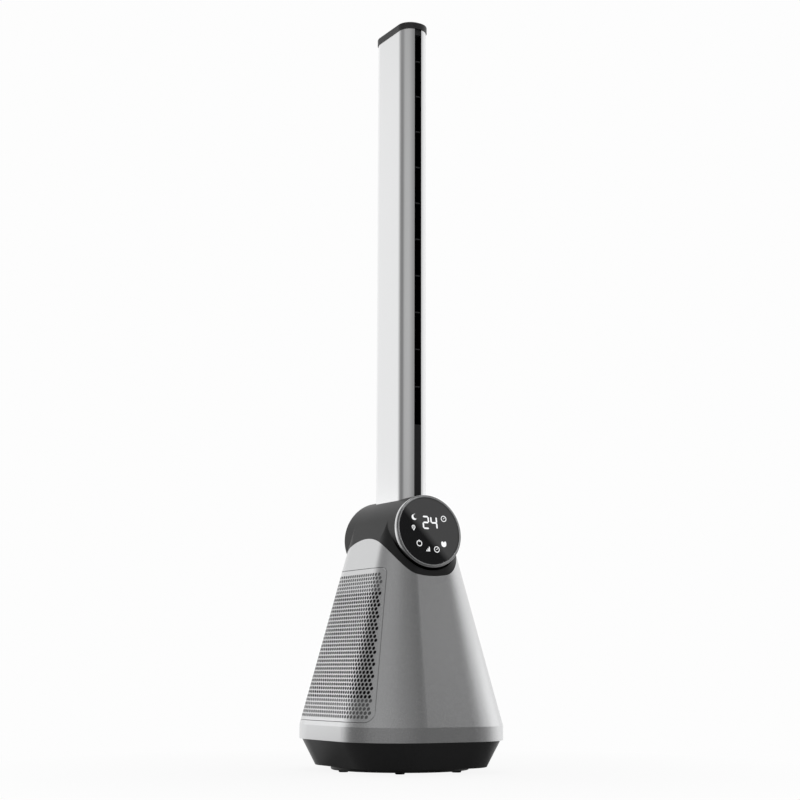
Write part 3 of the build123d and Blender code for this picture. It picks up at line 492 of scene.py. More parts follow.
@dataclass(frozen=True)
class LitSign(Finish):
    """White light behind a sign or digit, a little uneven across it."""

    name: str = "lit_sign"
    colour: Colour = (0.98, 0.99, 1.0)
    roughness: float = 0.25
    roughness_spread: float = 0.1
    strength: float = 1.05
    patch: float = 220.0
    lit_tones: Flat = (0.9, 1.0)
    unlit_tones: Flat = (0.05, 0.06)

    def fill(self, recipe: Recipe) -> None:
        """Write the light's nodes.

        Args:
            recipe: The empty node tree of the material.
        """
        uneven = recipe.noise(self.patch, detail=2.0)
        recipe.finish_with(
            {
                "Base Color": self.tones(recipe, uneven, *self.unlit_tones),
                "Roughness": self.rough((uneven, self.roughness_spread)),
                "Emission Color": self.tones(recipe, uneven, *self.lit_tones),
                "Emission Strength": self.strength,
            }
        )


@dataclass(frozen=True)
class WovenScreen(Finish):
    """A black nylon screen: two sets of threads that cross."""

    name: str = "woven_screen"
    colour: Colour = (0.006, 0.006, 0.007)
    roughness: float = 0.8
    roughness_spread: float = 0.2
    thread_scale: float = 281.25
    waver: float = 0.2
    thread_tones: Flat = (0.5, 2.0)
    thread_height: float = 0.0002
    thread_strength: float = 0.5

    def threads(self, recipe: Recipe, direction: str) -> Number:
        """Threads that repeat along an axis.

        Args:
            recipe: The material's node tree.
            direction: The axis, Y or Z.

        Returns:
            The threads' relief, from 0 to 1.
        """
        settings = {"wave_type": "BANDS", "bands_direction": direction}
        inputs = {"Vector": recipe.place(), "Scale": self.thread_scale, "Distortion": self.waver}
        return recipe.number("ShaderNodeTexWave", settings, inputs, "Fac")

    def fill(self, recipe: Recipe) -> None:
        """Write the screen's nodes.

        Args:
            recipe: The empty node tree of the material.
        """
        weave = (self.threads(recipe, "Y") + self.threads(recipe, "Z")) * 0.5
        recipe.finish_with(
            {
                "Base Color": self.tones(recipe, weave, *self.thread_tones),
                "Roughness": self.rough((weave, self.roughness_spread)),
                "Normal": recipe.bump(weave, self.thread_height, self.thread_strength),
            }
        )


@dataclass(frozen=True)
class CircuitBoard(Finish):
    """Lacquered board: green with paler tracks."""

    name: str = "lacquered_board"
    colour: Colour = (0.015, 0.09, 0.035)
    roughness: float = 0.325
    roughness_spread: float = 0.15
    track_scale: float = 240.0
    track_edge: Flat = (0.02, 0.07)
    track_tone: float = 1.8
    track_height: float = 0.00005
    track_strength: float = 0.4

    def fill(self, recipe: Recipe) -> None:
        """Write the board's nodes.

        Args:
            recipe: The empty node tree of the material.
        """
        settings = {"feature": "DISTANCE_TO_EDGE", "distance": "CHEBYCHEV"}
        inputs = {"Vector": recipe.place(), "Scale": self.track_scale}
        cells = recipe.number("ShaderNodeTexVoronoi", settings, inputs, "Distance")
        board = cells.within(*self.track_edge)
        recipe.finish_with(
            {
                "Base Color": self.tones(recipe, board, self.track_tone, 1.0),
                "Roughness": self.rough((board, self.roughness_spread)),
                "Normal": recipe.bump(board, self.track_height, self.track_strength),
            }
        )


BODY_SILVER = MetallicLacquer()
COLUMN_SILVER = DrawnMetal("column_anodised", (0.86, 0.863, 0.867), 0.2, (1.0, 1.0, 0.01), 1500.0, 0.03)
RING_SILVER = DrawnMetal("ring_turned", (0.66, 0.663, 0.667), 0.2, (1.0, 1.0, 1.0), 900.0, 0.04)
BASE_BLACK = Moulding("base_satin", (0.012, 0.012, 0.0126), 0.4, 1700.0, 0.00002, 0.3)
NECK_GREY = Moulding("neck_satin", (0.008, 0.0081, 0.0085), 0.46, 2200.0, 0.00001, 0.3, 0.04)
CAP_GREY = Moulding("cap_satin", (0.026, 0.0264, 0.0275), 0.42, 2200.0, 0.00001, 0.3, 0.04)
STRIP_GREY = Moulding("strip_satin", (0.011, 0.011, 0.012), 0.4, 1600.0, 0.00001, 0.2)
SLOT_BLACK = SlotMoulding()
FOOT_RUBBER = Moulding("foot_rubber", (0.012, 0.012, 0.012), 0.75, 900.0, 0.00006, 0.4, 0.15)
SEAL_FOAM = Moulding("seal_foam", (0.02, 0.02, 0.021), 0.9, 1300.0, 0.0003, 0.8, 0.3)
ACETAL = Moulding("acetal_white", (0.72, 0.72, 0.69), 0.35, 700.0, 0.00001, 0.2, 0.02)
BLOWER_GREY = Moulding("blower_moulded", (0.07, 0.072, 0.077), 0.5, 1200.0, 0.00003, 0.3, 0.08)
ZINC = DrawnMetal("zinc_steel", (0.55, 0.56, 0.57), 0.32, (1.0, 1.0, 1.0), 1200.0, 0.08)
MOTOR_CAN = DrawnMetal("motor_can", (0.45, 0.455, 0.46), 0.35, (0.3, 0.3, 1.0), 900.0, 0.08)
# painted shade: near black for the panel's back, its back rim and its through holes' walls, where shade
# falls in the holes and inside the body
PANEL_PAINTED_SHADE = Moulding("panel_painted_shade", (0.005, 0.005, 0.005), 0.7, 1600.0, 0.00001, 0.2)
# painted shade: mid grey for the dimples' walls and floors, the silver lacquer as if shaded in its
# hollows
DIMPLE_PAINTED_SHADE = Moulding("dimple_painted_shade", (0.13, 0.131, 0.133), 0.5, 1600.0, 0.00001, 0.2)
GLASS = SmokedGlass()
SIGNS = LitSign()
SCREEN = WovenScreen()
BOARD = CircuitBoard()

# ---- mesh helpers
def place_object(name: str, data: bpy.types.ID) -> bpy.types.Object:
    """Make an object and link it into the scene.

    Args:
        name: The object's name.
        data: Its mesh, lamp or camera.

    Returns:
        The object.
    """
    made = bpy.data.objects.new(name, data)
    bpy.context.scene.collection.objects.link(made)
    return made


def finish_mesh(mesh: bpy.types.Mesh) -> None:
    """Shade a mesh smooth, with sharp edges where its faces turn sharply.

    Args:
        mesh: The mesh.
    """
    work = bmesh.new()
    work.from_mesh(mesh)
    limit = math.radians(SHARP_TURN)
    for face in work.faces:
        face.smooth = True
    for edge in work.edges:
        edge.smooth = len(edge.link_faces) == 2 and edge.calc_face_angle(0.0) < limit
    work.to_mesh(mesh)
    work.free()


def add_piece(
    name: str,
    vertices: Sequence[Sequence[float]],
    faces: Sequence[Sequence[int]],
    finish: Finish,
) -> bpy.types.Object:
    """Make a mesh piece that rides on the housing.

    Args:
        name: The piece's name.
        vertices: Its points in metres.
        faces: Its faces as lists of point numbers.
        finish: Its finish.

    Returns:
        The piece's object.
    """
    mesh = bpy.data.meshes.new(name)
    mesh.from_pydata([tuple(v) for v in vertices], [], [tuple(f) for f in faces])
    mesh.validate()
    finish_mesh(mesh)
    mesh.materials.append(finish.material())
    piece = place_object(name, mesh)
    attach(piece, HOUSING)
    log.info("%s: %d points, %d faces", name, len(mesh.vertices), len(mesh.polygons))
    return piece


@dataclass
class Shell:
    """Points and faces of a mesh that is put together from rings."""

    vertices: list[Triple] = field(default_factory=list)
    faces: list[tuple[int, ...]] = field(default_factory=list)

    def ring(self, points: Iterable[Sequence[float]]) -> list[int]:
        """Add a row of points.

        Args:
            points: The points in order.

        Returns:
            Their numbers.
        """
        start = len(self.vertices)
        self.vertices.extend(tuple(p) for p in points)
        return list(range(start, len(self.vertices)))

    def bridge(self, first: Sequence[int], second: Sequence[int], closed: bool = True) -> None:
        """Join two rows of as many points with a band of faces.

        Args:
            first: The first row's point numbers.
            second: The second row's point numbers.
            closed: Whether the rows are rings.
        """
        count = len(first)
        for i in range(count if closed else count - 1):
            j = (i + 1) % count
            self.faces.append((first[i], first[j], second[j], second[i]))

    def cap(self, row: Sequence[int]) -> None:
        """Close a ring with one face."""
        self.faces.append(tuple(row))


def rounded_profile(corners: Sequence[Triple], steps: int) -> list[Flat]:
    """A closed profile with rounded corners.

    Args:
        corners: Each corner's two coordinates and its radius.
        steps: How many pieces a rounded corner has.

    Returns:
        The profile's points.
    """
    points: list[Flat] = []
    count = len(corners)
    for i, (u, v, radius) in enumerate(corners):
        here = Vector((u, v))
        back = (Vector(corners[i - 1][:2]) - here).normalized()
        ahead = (Vector(corners[(i + 1) % count][:2]) - here).normalized()
        half = back.angle(ahead) / 2.0
        if radius <= 0.0 or half > math.radians(NEARLY_STRAIGHT):
            points.append((u, v))
            continue
        reach = radius / math.tan(half)
        middle = here + (back + ahead).normalized() * radius / math.sin(half)
        start = here + back * reach - middle
        end = here + ahead * reach - middle
        for step in range(steps + 1):
            spoke = start.slerp(end, step / steps)
            points.append(tuple(middle + spoke.normalized() * radius))
    return points


# ---- the fan's form
@dataclass(frozen=True)
class BodyForm:
    """The tapering silver body, as the solids have it. Sizes in millimetres."""

    half_width: float = 112.0
    half_length: float = 125.4
    corner: float = 78.4
    band_top: float = 57.6
    width_taper: float = 0.258
    length_taper: float = 0.239
    corner_taper: float = 0.193

    def section(self, height: float, inset: float = 0.0) -> Triple:
        """The outline at a height.

        Args:
            height: The height.
            inset: How far inside the surface.

        Returns:
            Half width, half length and corner radius.
        """
        rise = max(height - self.band_top, 0.0)
        return (
            self.half_width - self.width_taper * rise - inset,
            self.half_length - self.length_taper * rise - inset,
            self.corner - self.corner_taper * rise - inset,
        )

    def flank(self, along: float, height: float, inset: float) -> float:
        """How far out the flank lies.

        Args:
            along: The place along the fan's depth.
            height: The height.
            inset: How far inside the surface.

        Returns:
            The flank's distance from the middle plane.
        """
        width, length, corner = self.section(height, inset)
        past = max(abs(along) - (length - corner), 0.0)
        return width - corner + math.sqrt(max(corner**2 - past**2, 0.0))

    def girth(self, along: float, height: float) -> float:
        """How far round the flank a place lies from the flank's middle.

        Args:
            along: The place along the fan's depth.
            height: The height.

        Returns:
            The way along the surface, with the sign of along.
        """
        _, length, corner = self.section(height)
        flat = length - corner
        past = min(max(abs(along) - flat, 0.0) / corner, 1.0)
        return math.copysign(min(abs(along), flat) + corner * math.asin(past), along)

    def depth_at(self, girth: float, height: float) -> float:
        """The place along the fan's depth that lies a way round the flank.

        Args:
            girth: The way along the surface from the flank's middle.
            height: The height.

        Returns:
            The place along the fan's depth.
        """
        _, length, corner = self.section(height)
        flat = length - corner
        past = max(abs(girth) - flat, 0.0) / corner
        return math.copysign(min(abs(girth), flat) + corner * math.sin(past), girth)

    def normal(self, along: float, height: float) -> Vector:
        """The right flank's outward direction.

        Args:
            along: The place along the fan's depth.
            height: The height.

        Returns:
            The direction, of length one.
        """
        _, length, corner = self.section(height)
        past = min(max(abs(along) - (length - corner), 0.0) / corner, 1.0)
        turn = math.asin(past)
        rise = (
            self.corner_taper
            + (self.width_taper - self.corner_taper) * math.cos(turn)
            + (self.length_taper - self.corner_taper) * math.sin(turn)
        )
        return Vector((math.cos(turn), math.copysign(math.sin(turn), along), rise)).normalized()


# ---- intake panels
@dataclass(frozen=True)
class Hole:
    """One hole or dimple of an intake panel. Sizes in millimetres."""

    girth: float
    height: float
    through: bool

    def rim(self, form: BodyForm, radius: float, sides: int) -> list[Flat]:
        """The hole's rim, round on the surface.

        Args:
            form: The body that the panel lies in.
            radius: The rim's radius.
            sides: How many points it has.

        Returns:
            Points as depth and height.
        """
        spots = []
        for step in range(sides):
            turn = 2.0 * math.pi * step / sides
            height = self.height + radius * math.sin(turn)
            spots.append((form.depth_at(self.girth + radius * math.cos(turn), height), height))
        return spots


@dataclass
class IntakePanel:
    """One perforated intake panel, clipped flush into the body's flank. Sizes in millimetres."""

    side: Side
    form: BodyForm = field(default_factory=BodyForm)
    bottom: float = 63.0
    top: float = 254.6
    bottom_half: float = 97.3
    top_half: float = 60.8
    corner: float = 10.0
    corner_steps: int = 8
    edge_step: float = 5.0
    gap: float = 0.55
    thickness: float = 1.6
    edge_break: float = 0.35
    hole_radius: float = 2.2
    hole_sides: int = 12
    first_row: float = 245.6
    row_pitch: float = 4.885
    rows: int = 37
    blind_rows: int = 5
    hole_pitch: float = 5.95
    shift_cycle: int = 3
    margin: float = 7.7
    dimple_depth: float = 0.5
    dimple_floor: float = 0.8

    def outline(self, inset: float) -> list[Flat]:
        """The panel's outline in the side view.

        Args:
            inset: How far inside the window's edge.

        Returns:
            Points as depth and height, with extra points along the straight edges.
        """
        rise = self.top - self.bottom
        lean = math.hypot(self.bottom_half - self.top_half, rise) / rise
        low = self.bottom_half - inset * lean
        high = self.top_half - inset * lean
        radius = self.corner - inset
        sharp = [
            (-low, self.bottom + inset, radius),
            (low, self.bottom + inset, radius),
            (high, self.top - inset, radius),
            (-high, self.top - inset, radius),
        ]
        rounded = rounded_profile(sharp, self.corner_steps)
        points: list[Flat] = []
        for i, (u, v) in enumerate(rounded):
            next_u, next_v = rounded[(i + 1) % len(rounded)]
            parts = max(1, round(math.dist((u, v), (next_u, next_v)) / self.edge_step))
            for step in range(parts):
                share = step / parts
                points.append((u + (next_u - u) * share, v + (next_v - v) * share))
        return points

    def holes(self) -> list[Hole]:
        """Every hole and dimple, from the top row down.

        Each row starts a third of the pitch nearer to the front edge than the row above, and
        after as many rows as the cycle has it starts over.

        Returns:
            The holes.
        """
        found = []
        slope = (self.bottom_half - self.top_half) / (self.top - self.bottom)
        for row in range(self.rows):
            height = self.first_row - row * self.row_pitch
            half = self.bottom_half - slope * (height - self.bottom)
            reach = self.form.girth(half, height) - self.margin
            late = self.shift_cycle - 1 - row % self.shift_cycle
            girth = late * self.hole_pitch / self.shift_cycle - reach
            through = self.blind_rows <= row < self.rows - self.blind_rows
            while girth <= reach:
                found.append(Hole(girth, height, through))
                girth += self.hole_pitch
        return found

    def point(self, along: float, height: float, inset: float) -> Triple:
        """A point on or inside the panel's surface, in metres."""
        out = self.form.flank(along, height, inset) * self.side.value
        return (out * MM, along * MM, height * MM)

    def build(self) -> bpy.types.Object:
        """Build the panel in place of its plain solid.

        Returns:
            The panel's object.
        """
        shell = Shell()
        inner = self.outline(self.gap + self.edge_break)
        outer = self.outline(self.gap)
        holes = self.holes()
        flat: list[Flat] = list(inner)
        edges = [(i, (i + 1) % len(inner)) for i in range(len(inner))]
        owner = [-1] * len(inner)
        sides = self.hole_sides
        for number, hole in enumerate(holes):
            start = len(flat)
            flat.extend(hole.rim(self.form, self.hole_radius, sides))
            owner.extend([number] * sides)
            edges.extend((start + step, start + (step + 1) % sides) for step in range(sides))
        points = [Vector(p) for p in flat]
        result = delaunay_2d_cdt(points, edges, [], 0, TRIANGLE_TOLERANCE, True)
        spots, triangles, origins = result[0], result[2], result[3]
        front = shell.ring(self.point(p.x, p.y, 0.0) for p in spots)
        back = shell.ring(self.point(p.x, p.y, self.thickness) for p in spots)
        owners = [owner[ids[0]] if ids else -1 for ids in origins]
        place_of = {ids[0]: i for i, ids in enumerate(origins) if ids}
        for a, b, c in triangles:
            if owners[a] == owners[b] == owners[c] != -1:
                continue
            shell.faces.append((front[a], front[b], front[c]))
            shell.faces.append((back[c], back[b], back[a]))
        dimples: set[int] = set()
        for number, hole in enumerate(holes):
            start = len(inner) + number * sides
            ring = [place_of[start + step] for step in range(sides)]
            rim = [front[i] for i in ring]
            if hole.through:
                shell.bridge(rim, [back[i] for i in ring])
                continue
            floor = hole.rim(self.form, self.dimple_floor * self.hole_radius, sides)
            dimples |= self._dimple(shell, rim, floor, self.dimple_depth)
            behind = [back[i] for i in reversed(ring)]
            self._dimple(shell, behind, floor[::-1], self.thickness - self.dimple_depth)
        edge = [place_of[i] for i in range(len(inner))]
        front_wall = shell.ring(self.point(*spot, self.edge_break) for spot in outer)
        back_wall = shell.ring(self.point(*spot, self.thickness - self.edge_break) for spot in outer)
        shell.bridge([front[i] for i in reversed(edge)], front_wall[::-1])
        shell.bridge([back[i] for i in edge], back_wall)
        shell.bridge(back_wall, front_wall)
        if self.side is Side.LEFT:
            shell.faces = [tuple(reversed(f)) for f in shell.faces]
        word = self.side.word
        piece = add_piece(f"{word}_intake_panel", shell.vertices, shell.faces, BODY_SILVER)
        self._dress(piece.data, set(front), set(back) | set(back_wall), dimples)
        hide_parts(f"{word}_grille")
        return piece

    def _dimple(self, shell: Shell, ring: Sequence[int], floor: Sequence[Flat], depth: float) -> set[int]:
        """Close a blind hole with a floor a little below the surface.

        Args:
            shell: The panel's mesh so far.
            ring: The hole's rim.
            floor: The floor's outline, with as many points in the same order.
            depth: How far below the panel's front the floor lies.

        Returns:
            The numbers of the floor's points.
        """
        row = shell.ring(self.point(*spot, depth) for spot in floor)
        shell.bridge(ring, row)
        shell.cap(row)
        return set(row)

    def _dress(self, mesh: bpy.types.Mesh, front: set[int], back: set[int], dimples: set[int]) -> None:
        """Paint shade on the panel's inside, round its back edge, in its through holes and in its
        dimples, and give its front the body's own curvature.

        Args:
            mesh: The panel's mesh.
            front: The numbers of the front face's points.
            back: The numbers of the points on its back and round its back edge.
            dimples: The numbers of the points in the front's dimples.
        """
        mesh.materials.append(PANEL_PAINTED_SHADE.material())
        mesh.materials.append(DIMPLE_PAINTED_SHADE.material())
        inside, dimple_shade = 1, 2  # the two finishes' places in the mesh's list
        normals = [Vector((0.0, 0.0, 0.0))] * len(mesh.loops)
        for polygon in mesh.polygons:
            # painted shade: faces on the back, round the back edge and in the through holes take the near
            # black; the dimples take the grey
            if not back.isdisjoint(polygon.vertices):
                polygon.material_index = inside
            elif not dimples.isdisjoint(polygon.vertices):
                polygon.material_index = dimple_shade
            elif front.issuperset(polygon.vertices):
                for loop in polygon.loop_indices:
                    spot = mesh.vertices[mesh.loops[loop].vertex_index].co
                    out = self.form.normal(spot.y / MM, spot.z / MM)
                    normals[loop] = Vector((out.x * self.side.value, out.y, out.z))
        mesh.normals_split_custom_set(normals)


# ---- display
@dataclass(frozen=True)
class Arc:
    """An arc on the display's face. Sizes in millimetres, angles in degrees."""

    middle: Flat
    radius: float
    start: float
    end: float
    steps: int = 24

    def points(self) -> list[Flat]:
        """Points along the arc.

        Returns:
            The points, from its start to its end.
        """
        found = []
        for step in range(self.steps + 1):
            turn = math.radians(self.start + (self.end - self.start) * step / self.steps)
            right, up = math.cos(turn), math.sin(turn)
            found.append((self.middle[0] + self.radius * right, self.middle[1] + self.radius * up))
        return found


@dataclass
class Display:
    """The round display on the neck's front end: its ring and what is lit behind the glass.

    Sizes in millimetres. Places on the face are right and up from its middle.
    """

    # each segment's two ends, in half widths and half heights of a digit
    SEGMENTS: ClassVar[dict[str, tuple[Flat, Flat]]] = {
        "a": ((-1.0, 1.0), (1.0, 1.0)),
        "b": ((1.0, 1.0), (1.0, 0.0)),
        "c": ((1.0, 0.0), (1.0, -1.0)),
        "d": ((-1.0, -1.0), (1.0, -1.0)),
        "e": ((-1.0, 0.0), (-1.0, -1.0)),
        "f": ((-1.0, 1.0), (-1.0, 0.0)),
        "g": ((-1.0, 0.0), (1.0, 0.0)),
    }

    forward: float = 73.8
    height: float = 301.6
    tilt: float = 10.5
    ring_radius: float = 47.75
    ring_depth: float = 6.0
    ring_steps: int = 144
    corner_steps: int = 3
    lip_radius: float = 46.0
    lip_round: float = 0.6
    groove_radius: float = 46.9
    groove_depth: float = 2.2
    groove_round: float = 0.1
    rim_drop: float = 0.8
    rim_round: float = 0.64
    rim_inner_round: float = 0.2
    back_round: float = 0.3
    bore: float = 44.3
    bore_round: float = 0.25
    shelf: float = 41.5
    shelf_depth: float = 2.9
    glass_drop: float = 0.4
    sign_lift: float = 0.04
    digit_places: tuple[Flat, Flat] = ((-4.0, 11.0), (8.0, 11.0))
    digit_half_width: float = 4.0
    digit_half_height: float = 7.7
    segment_half_width: float = 1.05
    segment_gap: float = 0.12
    stroke: float = 1.0
    hand_stroke: float = 0.7
    crescent_outer: Arc = Arc((-20.6, 17.2), 3.8, 75.0, 325.0)
    crescent_inner: Arc = Arc((-18.4, 18.5), 3.3, 312.0, 92.0)
    drop: Arc = Arc((-23.0, 4.2), 2.1, -45.0, 225.0)
    drop_tip: Flat = (-23.0, 0.3)
    drop_core: Arc = Arc((-23.0, 4.2), 0.7, 0.0, 345.0, 11)
    clocks: tuple[Arc, Arc] = (
        Arc((23.2, 17.1), 3.6, 0.0, 345.0, 23),
        Arc((8.5, -24.0), 3.6, 0.0, 345.0, 23),
    )
    # the clocks' hands, from their middles
    clock_hands: tuple[Flat, Flat, Flat] = ((1.6, 1.6), (0.0, 0.0), (-1.1, 0.0))
    power: Arc = Arc((-16.6, -16.9), 3.5, 105.0, 435.0)
    power_bar: tuple[Flat, Flat] = ((-16.6, -15.2), (-16.6, -12.3))
    speed_place: Flat = (-7.2, -27.0)
    speed_pitch: float = 2.0
    speed_width: float = 1.4
    speed_heights: Triple = (1.8, 3.9, 6.0)
    flame_bowl: Arc = Arc((19.8, -16.6), 3.8, 200.0, 340.0, 14)
    flame_tongues: tuple[Flat, ...] = (
        (23.6, -15.0),
        (22.9, -13.2),
        (21.5, -13.0),
        (19.9, -14.6),
        (18.3, -13.0),
        (16.8, -13.2),
        (16.0, -15.0),
    )

    @property
    def sign_out(self) -> float:
        """How far out from the face's middle the signs lie, just in front of the glass."""
        return self.sign_lift - self.glass_drop

    def axes(self) -> tuple[Vector, Vector, Vector, Vector]:
        """The face's middle and its right, up and outward directions.

        Returns:
            The middle in metres, and the directions, of length one.
        """
        lean = math.radians(self.tilt)
        middle = Vector((0.0, -self.forward, self.height)) * MM
        up = Vector((0.0, math.sin(lean), math.cos(lean)))
        out = Vector((0.0, -math.cos(lean), math.sin(lean)))
        return middle, Vector((1.0, 0.0, 0.0)), up, out

    def point(self, right: float, up: float, out: float) -> Triple:
        """A point given in millimetres right, up and out from the face's middle."""
        middle, right_way, up_way, out_way = self.axes()
        return tuple(middle + (right_way * right + up_way * up + out_way * out) * MM)

    def build_ring(self) -> bpy.types.Object:
        """Turn the silver ring from its profile.

        Returns:
            The ring's object.
        """
        back = -self.ring_depth
        profile = rounded_profile(
            [
                (self.bore, 0.0, self.bore_round),
                (self.lip_radius, 0.0, self.lip_round),
                (self.lip_radius, -self.groove_depth, self.groove_round),
                (self.groove_radius, -self.groove_depth, self.groove_round),
                (self.groove_radius, -self.rim_drop, self.rim_inner_round),
                (self.ring_radius, -self.rim_drop, self.rim_round),
                (self.ring_radius, back, self.back_round),
                (self.shelf, back, 0.0),
                (self.shelf, -self.shelf_depth, self.groove_round),
                (self.bore, -self.shelf_depth, self.groove_round),
            ],
            self.corner_steps,
        )
        shell = Shell()
        rows = []
        for step in range(self.ring_steps):
            turn = 2.0 * math.pi * step / self.ring_steps
            right, up = math.cos(turn), math.sin(turn)
            rows.append(shell.ring(self.point(r * right, r * up, d) for r, d in profile))
        for step in range(self.ring_steps):
            shell.bridge(rows[step], rows[(step + 1) % self.ring_steps])
        ring = add_piece("display_ring", shell.vertices, shell.faces, RING_SILVER)
        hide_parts("bezel_ring")
        return ring

    def _plate(self, shell: Shell, outline: Sequence[Flat]) -> None:
        """Add a flat sign with one anticlockwise outline to the signs' mesh."""
        shell.cap(shell.ring(self.point(u, v, self.sign_out) for u, v in outline))

    def _stroke(self, shell: Shell, path: Sequence[Flat], width: float, closed: bool = False) -> None:
        """Add a band along a path.

        Args:
            shell: The signs' mesh so far.
            path: The band's middle line.
            width: The band's width.
            closed: Whether the band is a loop.
        """
        count = len(path)
        left, right = [], []
        for i, spot in enumerate(path):
            before = path[i - 1] if closed or i > 0 else spot
            after = path[(i + 1) % count] if closed or i < count - 1 else spot
            way = Vector((after[0] - before[0], after[1] - before[1])).normalized()
            side = Vector((-way.y, way.x)) * width / 2.0
            if 0 < i < count - 1 or closed:
                one = (Vector(spot) - Vector(before)).normalized()
                two = (Vector(after) - Vector(spot)).normalized()
                side /= max(math.cos(one.angle(two) / 2.0), 0.5)
            left.append((spot[0] + side.x, spot[1] + side.y))
            right.append((spot[0] - side.x, spot[1] - side.y))
        row_left = shell.ring(self.point(u, v, self.sign_out) for u, v in left)
        row_right = shell.ring(self.point(u, v, self.sign_out) for u, v in right)
        shell.bridge(row_right, row_left, closed)

    def _digit(self, shell: Shell, middle: Flat, segments: str) -> None:
        """Add a seven-segment digit.

        Args:
            shell: The signs' mesh so far.
            middle: The digit's middle.
            segments: The letters of the segments that are lit, a to g.
        """
        for letter in segments:
            start, end = (
                Vector((u * self.digit_half_width, v * self.digit_half_height))
                for u, v in self.SEGMENTS[letter]
            )
            way = (end - start).normalized()
            side = Vector((-way.y, way.x)) * self.segment_half_width
            first = start + way * self.segment_gap
            last = end - way * self.segment_gap
            nose = way * self.segment_half_width
            ring = [
                first,
                first + nose - side,
                last - nose - side,
                last,
                last - nose + side,
                first + nose + side,
            ]
            self._plate(shell, [(p.x + middle[0], p.y + middle[1]) for p in ring])

    def _weather_signs(self, shell: Shell) -> None:
        """Add the crescent, the drop and the flame.

        Args:
            shell: The signs' mesh so far.
        """
        self._plate(shell, self.crescent_outer.points() + self.crescent_inner.points())
        self._stroke(shell, self.drop.points() + [self.drop_tip], self.stroke, closed=True)
        self._plate(shell, self.drop_core.points())
        self._plate(shell, self.flame_bowl.points() + list(self.flame_tongues))

    def _control_signs(self, shell: Shell) -> None:
        """Add the timer, the clock, the on and off sign and the speed steps.

        Args:
            shell: The signs' mesh so far.
        """
        for clock in self.clocks:
            right, up = clock.middle
            hands = [(right + u, up + v) for u, v in self.clock_hands]
            self._stroke(shell, clock.points(), self.stroke, closed=True)
            self._stroke(shell, hands, self.hand_stroke)
        self._stroke(shell, self.power.points(), self.stroke)
        self._stroke(shell, self.power_bar, self.stroke)
        foot = self.speed_place[1]
        for step, high in enumerate(self.speed_heights):
            left = self.speed_place[0] + step * self.speed_pitch
            right = left + self.speed_width
            self._plate(shell, [(left, foot), (right, foot), (right, foot + high), (left, foot + high)])

    def build_signs(self) -> bpy.types.Object:
        """Build the digits and the signs round them.

        Returns:
            The signs' object.
        """
        shell = Shell()
        for middle, segments in zip(self.digit_places, ("abged", "fgbc")):
            self._digit(shell, middle, segments)
        self._weather_signs(shell)
        self._control_signs(shell)
        return add_piece("display_signs", shell.vertices, shell.faces, SIGNS)


# ---- solids kept as they are
@dataclass
class CarriedParts:
    """The solids that show as packed, each with the finish of its material slot."""

    frame: dict[str, Any]
    finishes: dict[str, Finish] = field(
        default_factory=lambda: {
            "body_silver": BODY_SILVER,
            "column_silver": COLUMN_SILVER,
            "base_black": BASE_BLACK,
            "rubber": FOOT_RUBBER,
            "acetal": ACETAL,
            "steel": ZINC,
            "blower_grey": BLOWER_GREY,
            "circuit_board": BOARD,
            "motor_steel": MOTOR_CAN,
            "filter_mesh": SCREEN,
            "foam": SEAL_FOAM,
            "neck_grey": NECK_GREY,
            "ring_silver": RING_SILVER,
            "display_black": GLASS,
            "sign_white": SIGNS,
            "slot_black": SLOT_BLACK,
            "strip_grey": STRIP_GREY,
            "cap_grey": CAP_GREY,
        }
    )

    def dress(self) -> None:
        """Give every solid its finish and smooth shading."""
        for entry in self.frame["record"]["subparts"]:
            part = self.frame["nodes"][entry["node"]]
            finish = self.finishes[entry["material_slot"]]
            part.data.materials.clear()
            part.data.materials.append(finish.material())
            part.data.polygons.foreach_set("use_smooth", [True] * len(part.data.polygons))
            log.info("%s: %s", entry["node"], finish.name)


# ---- studio
@dataclass(frozen=True)
class Lamp:
    """A soft lamp that hangs round the fan and is aimed at its middle line.

    Lengths in metres. The bearing is in degrees to the right from the camera's side, the rise in
    degrees above level, and the power in watts.
    """

    name: str
    aim_height: float
    bearing: float
    rise: float
    distance: float
    size: Flat
    power: float


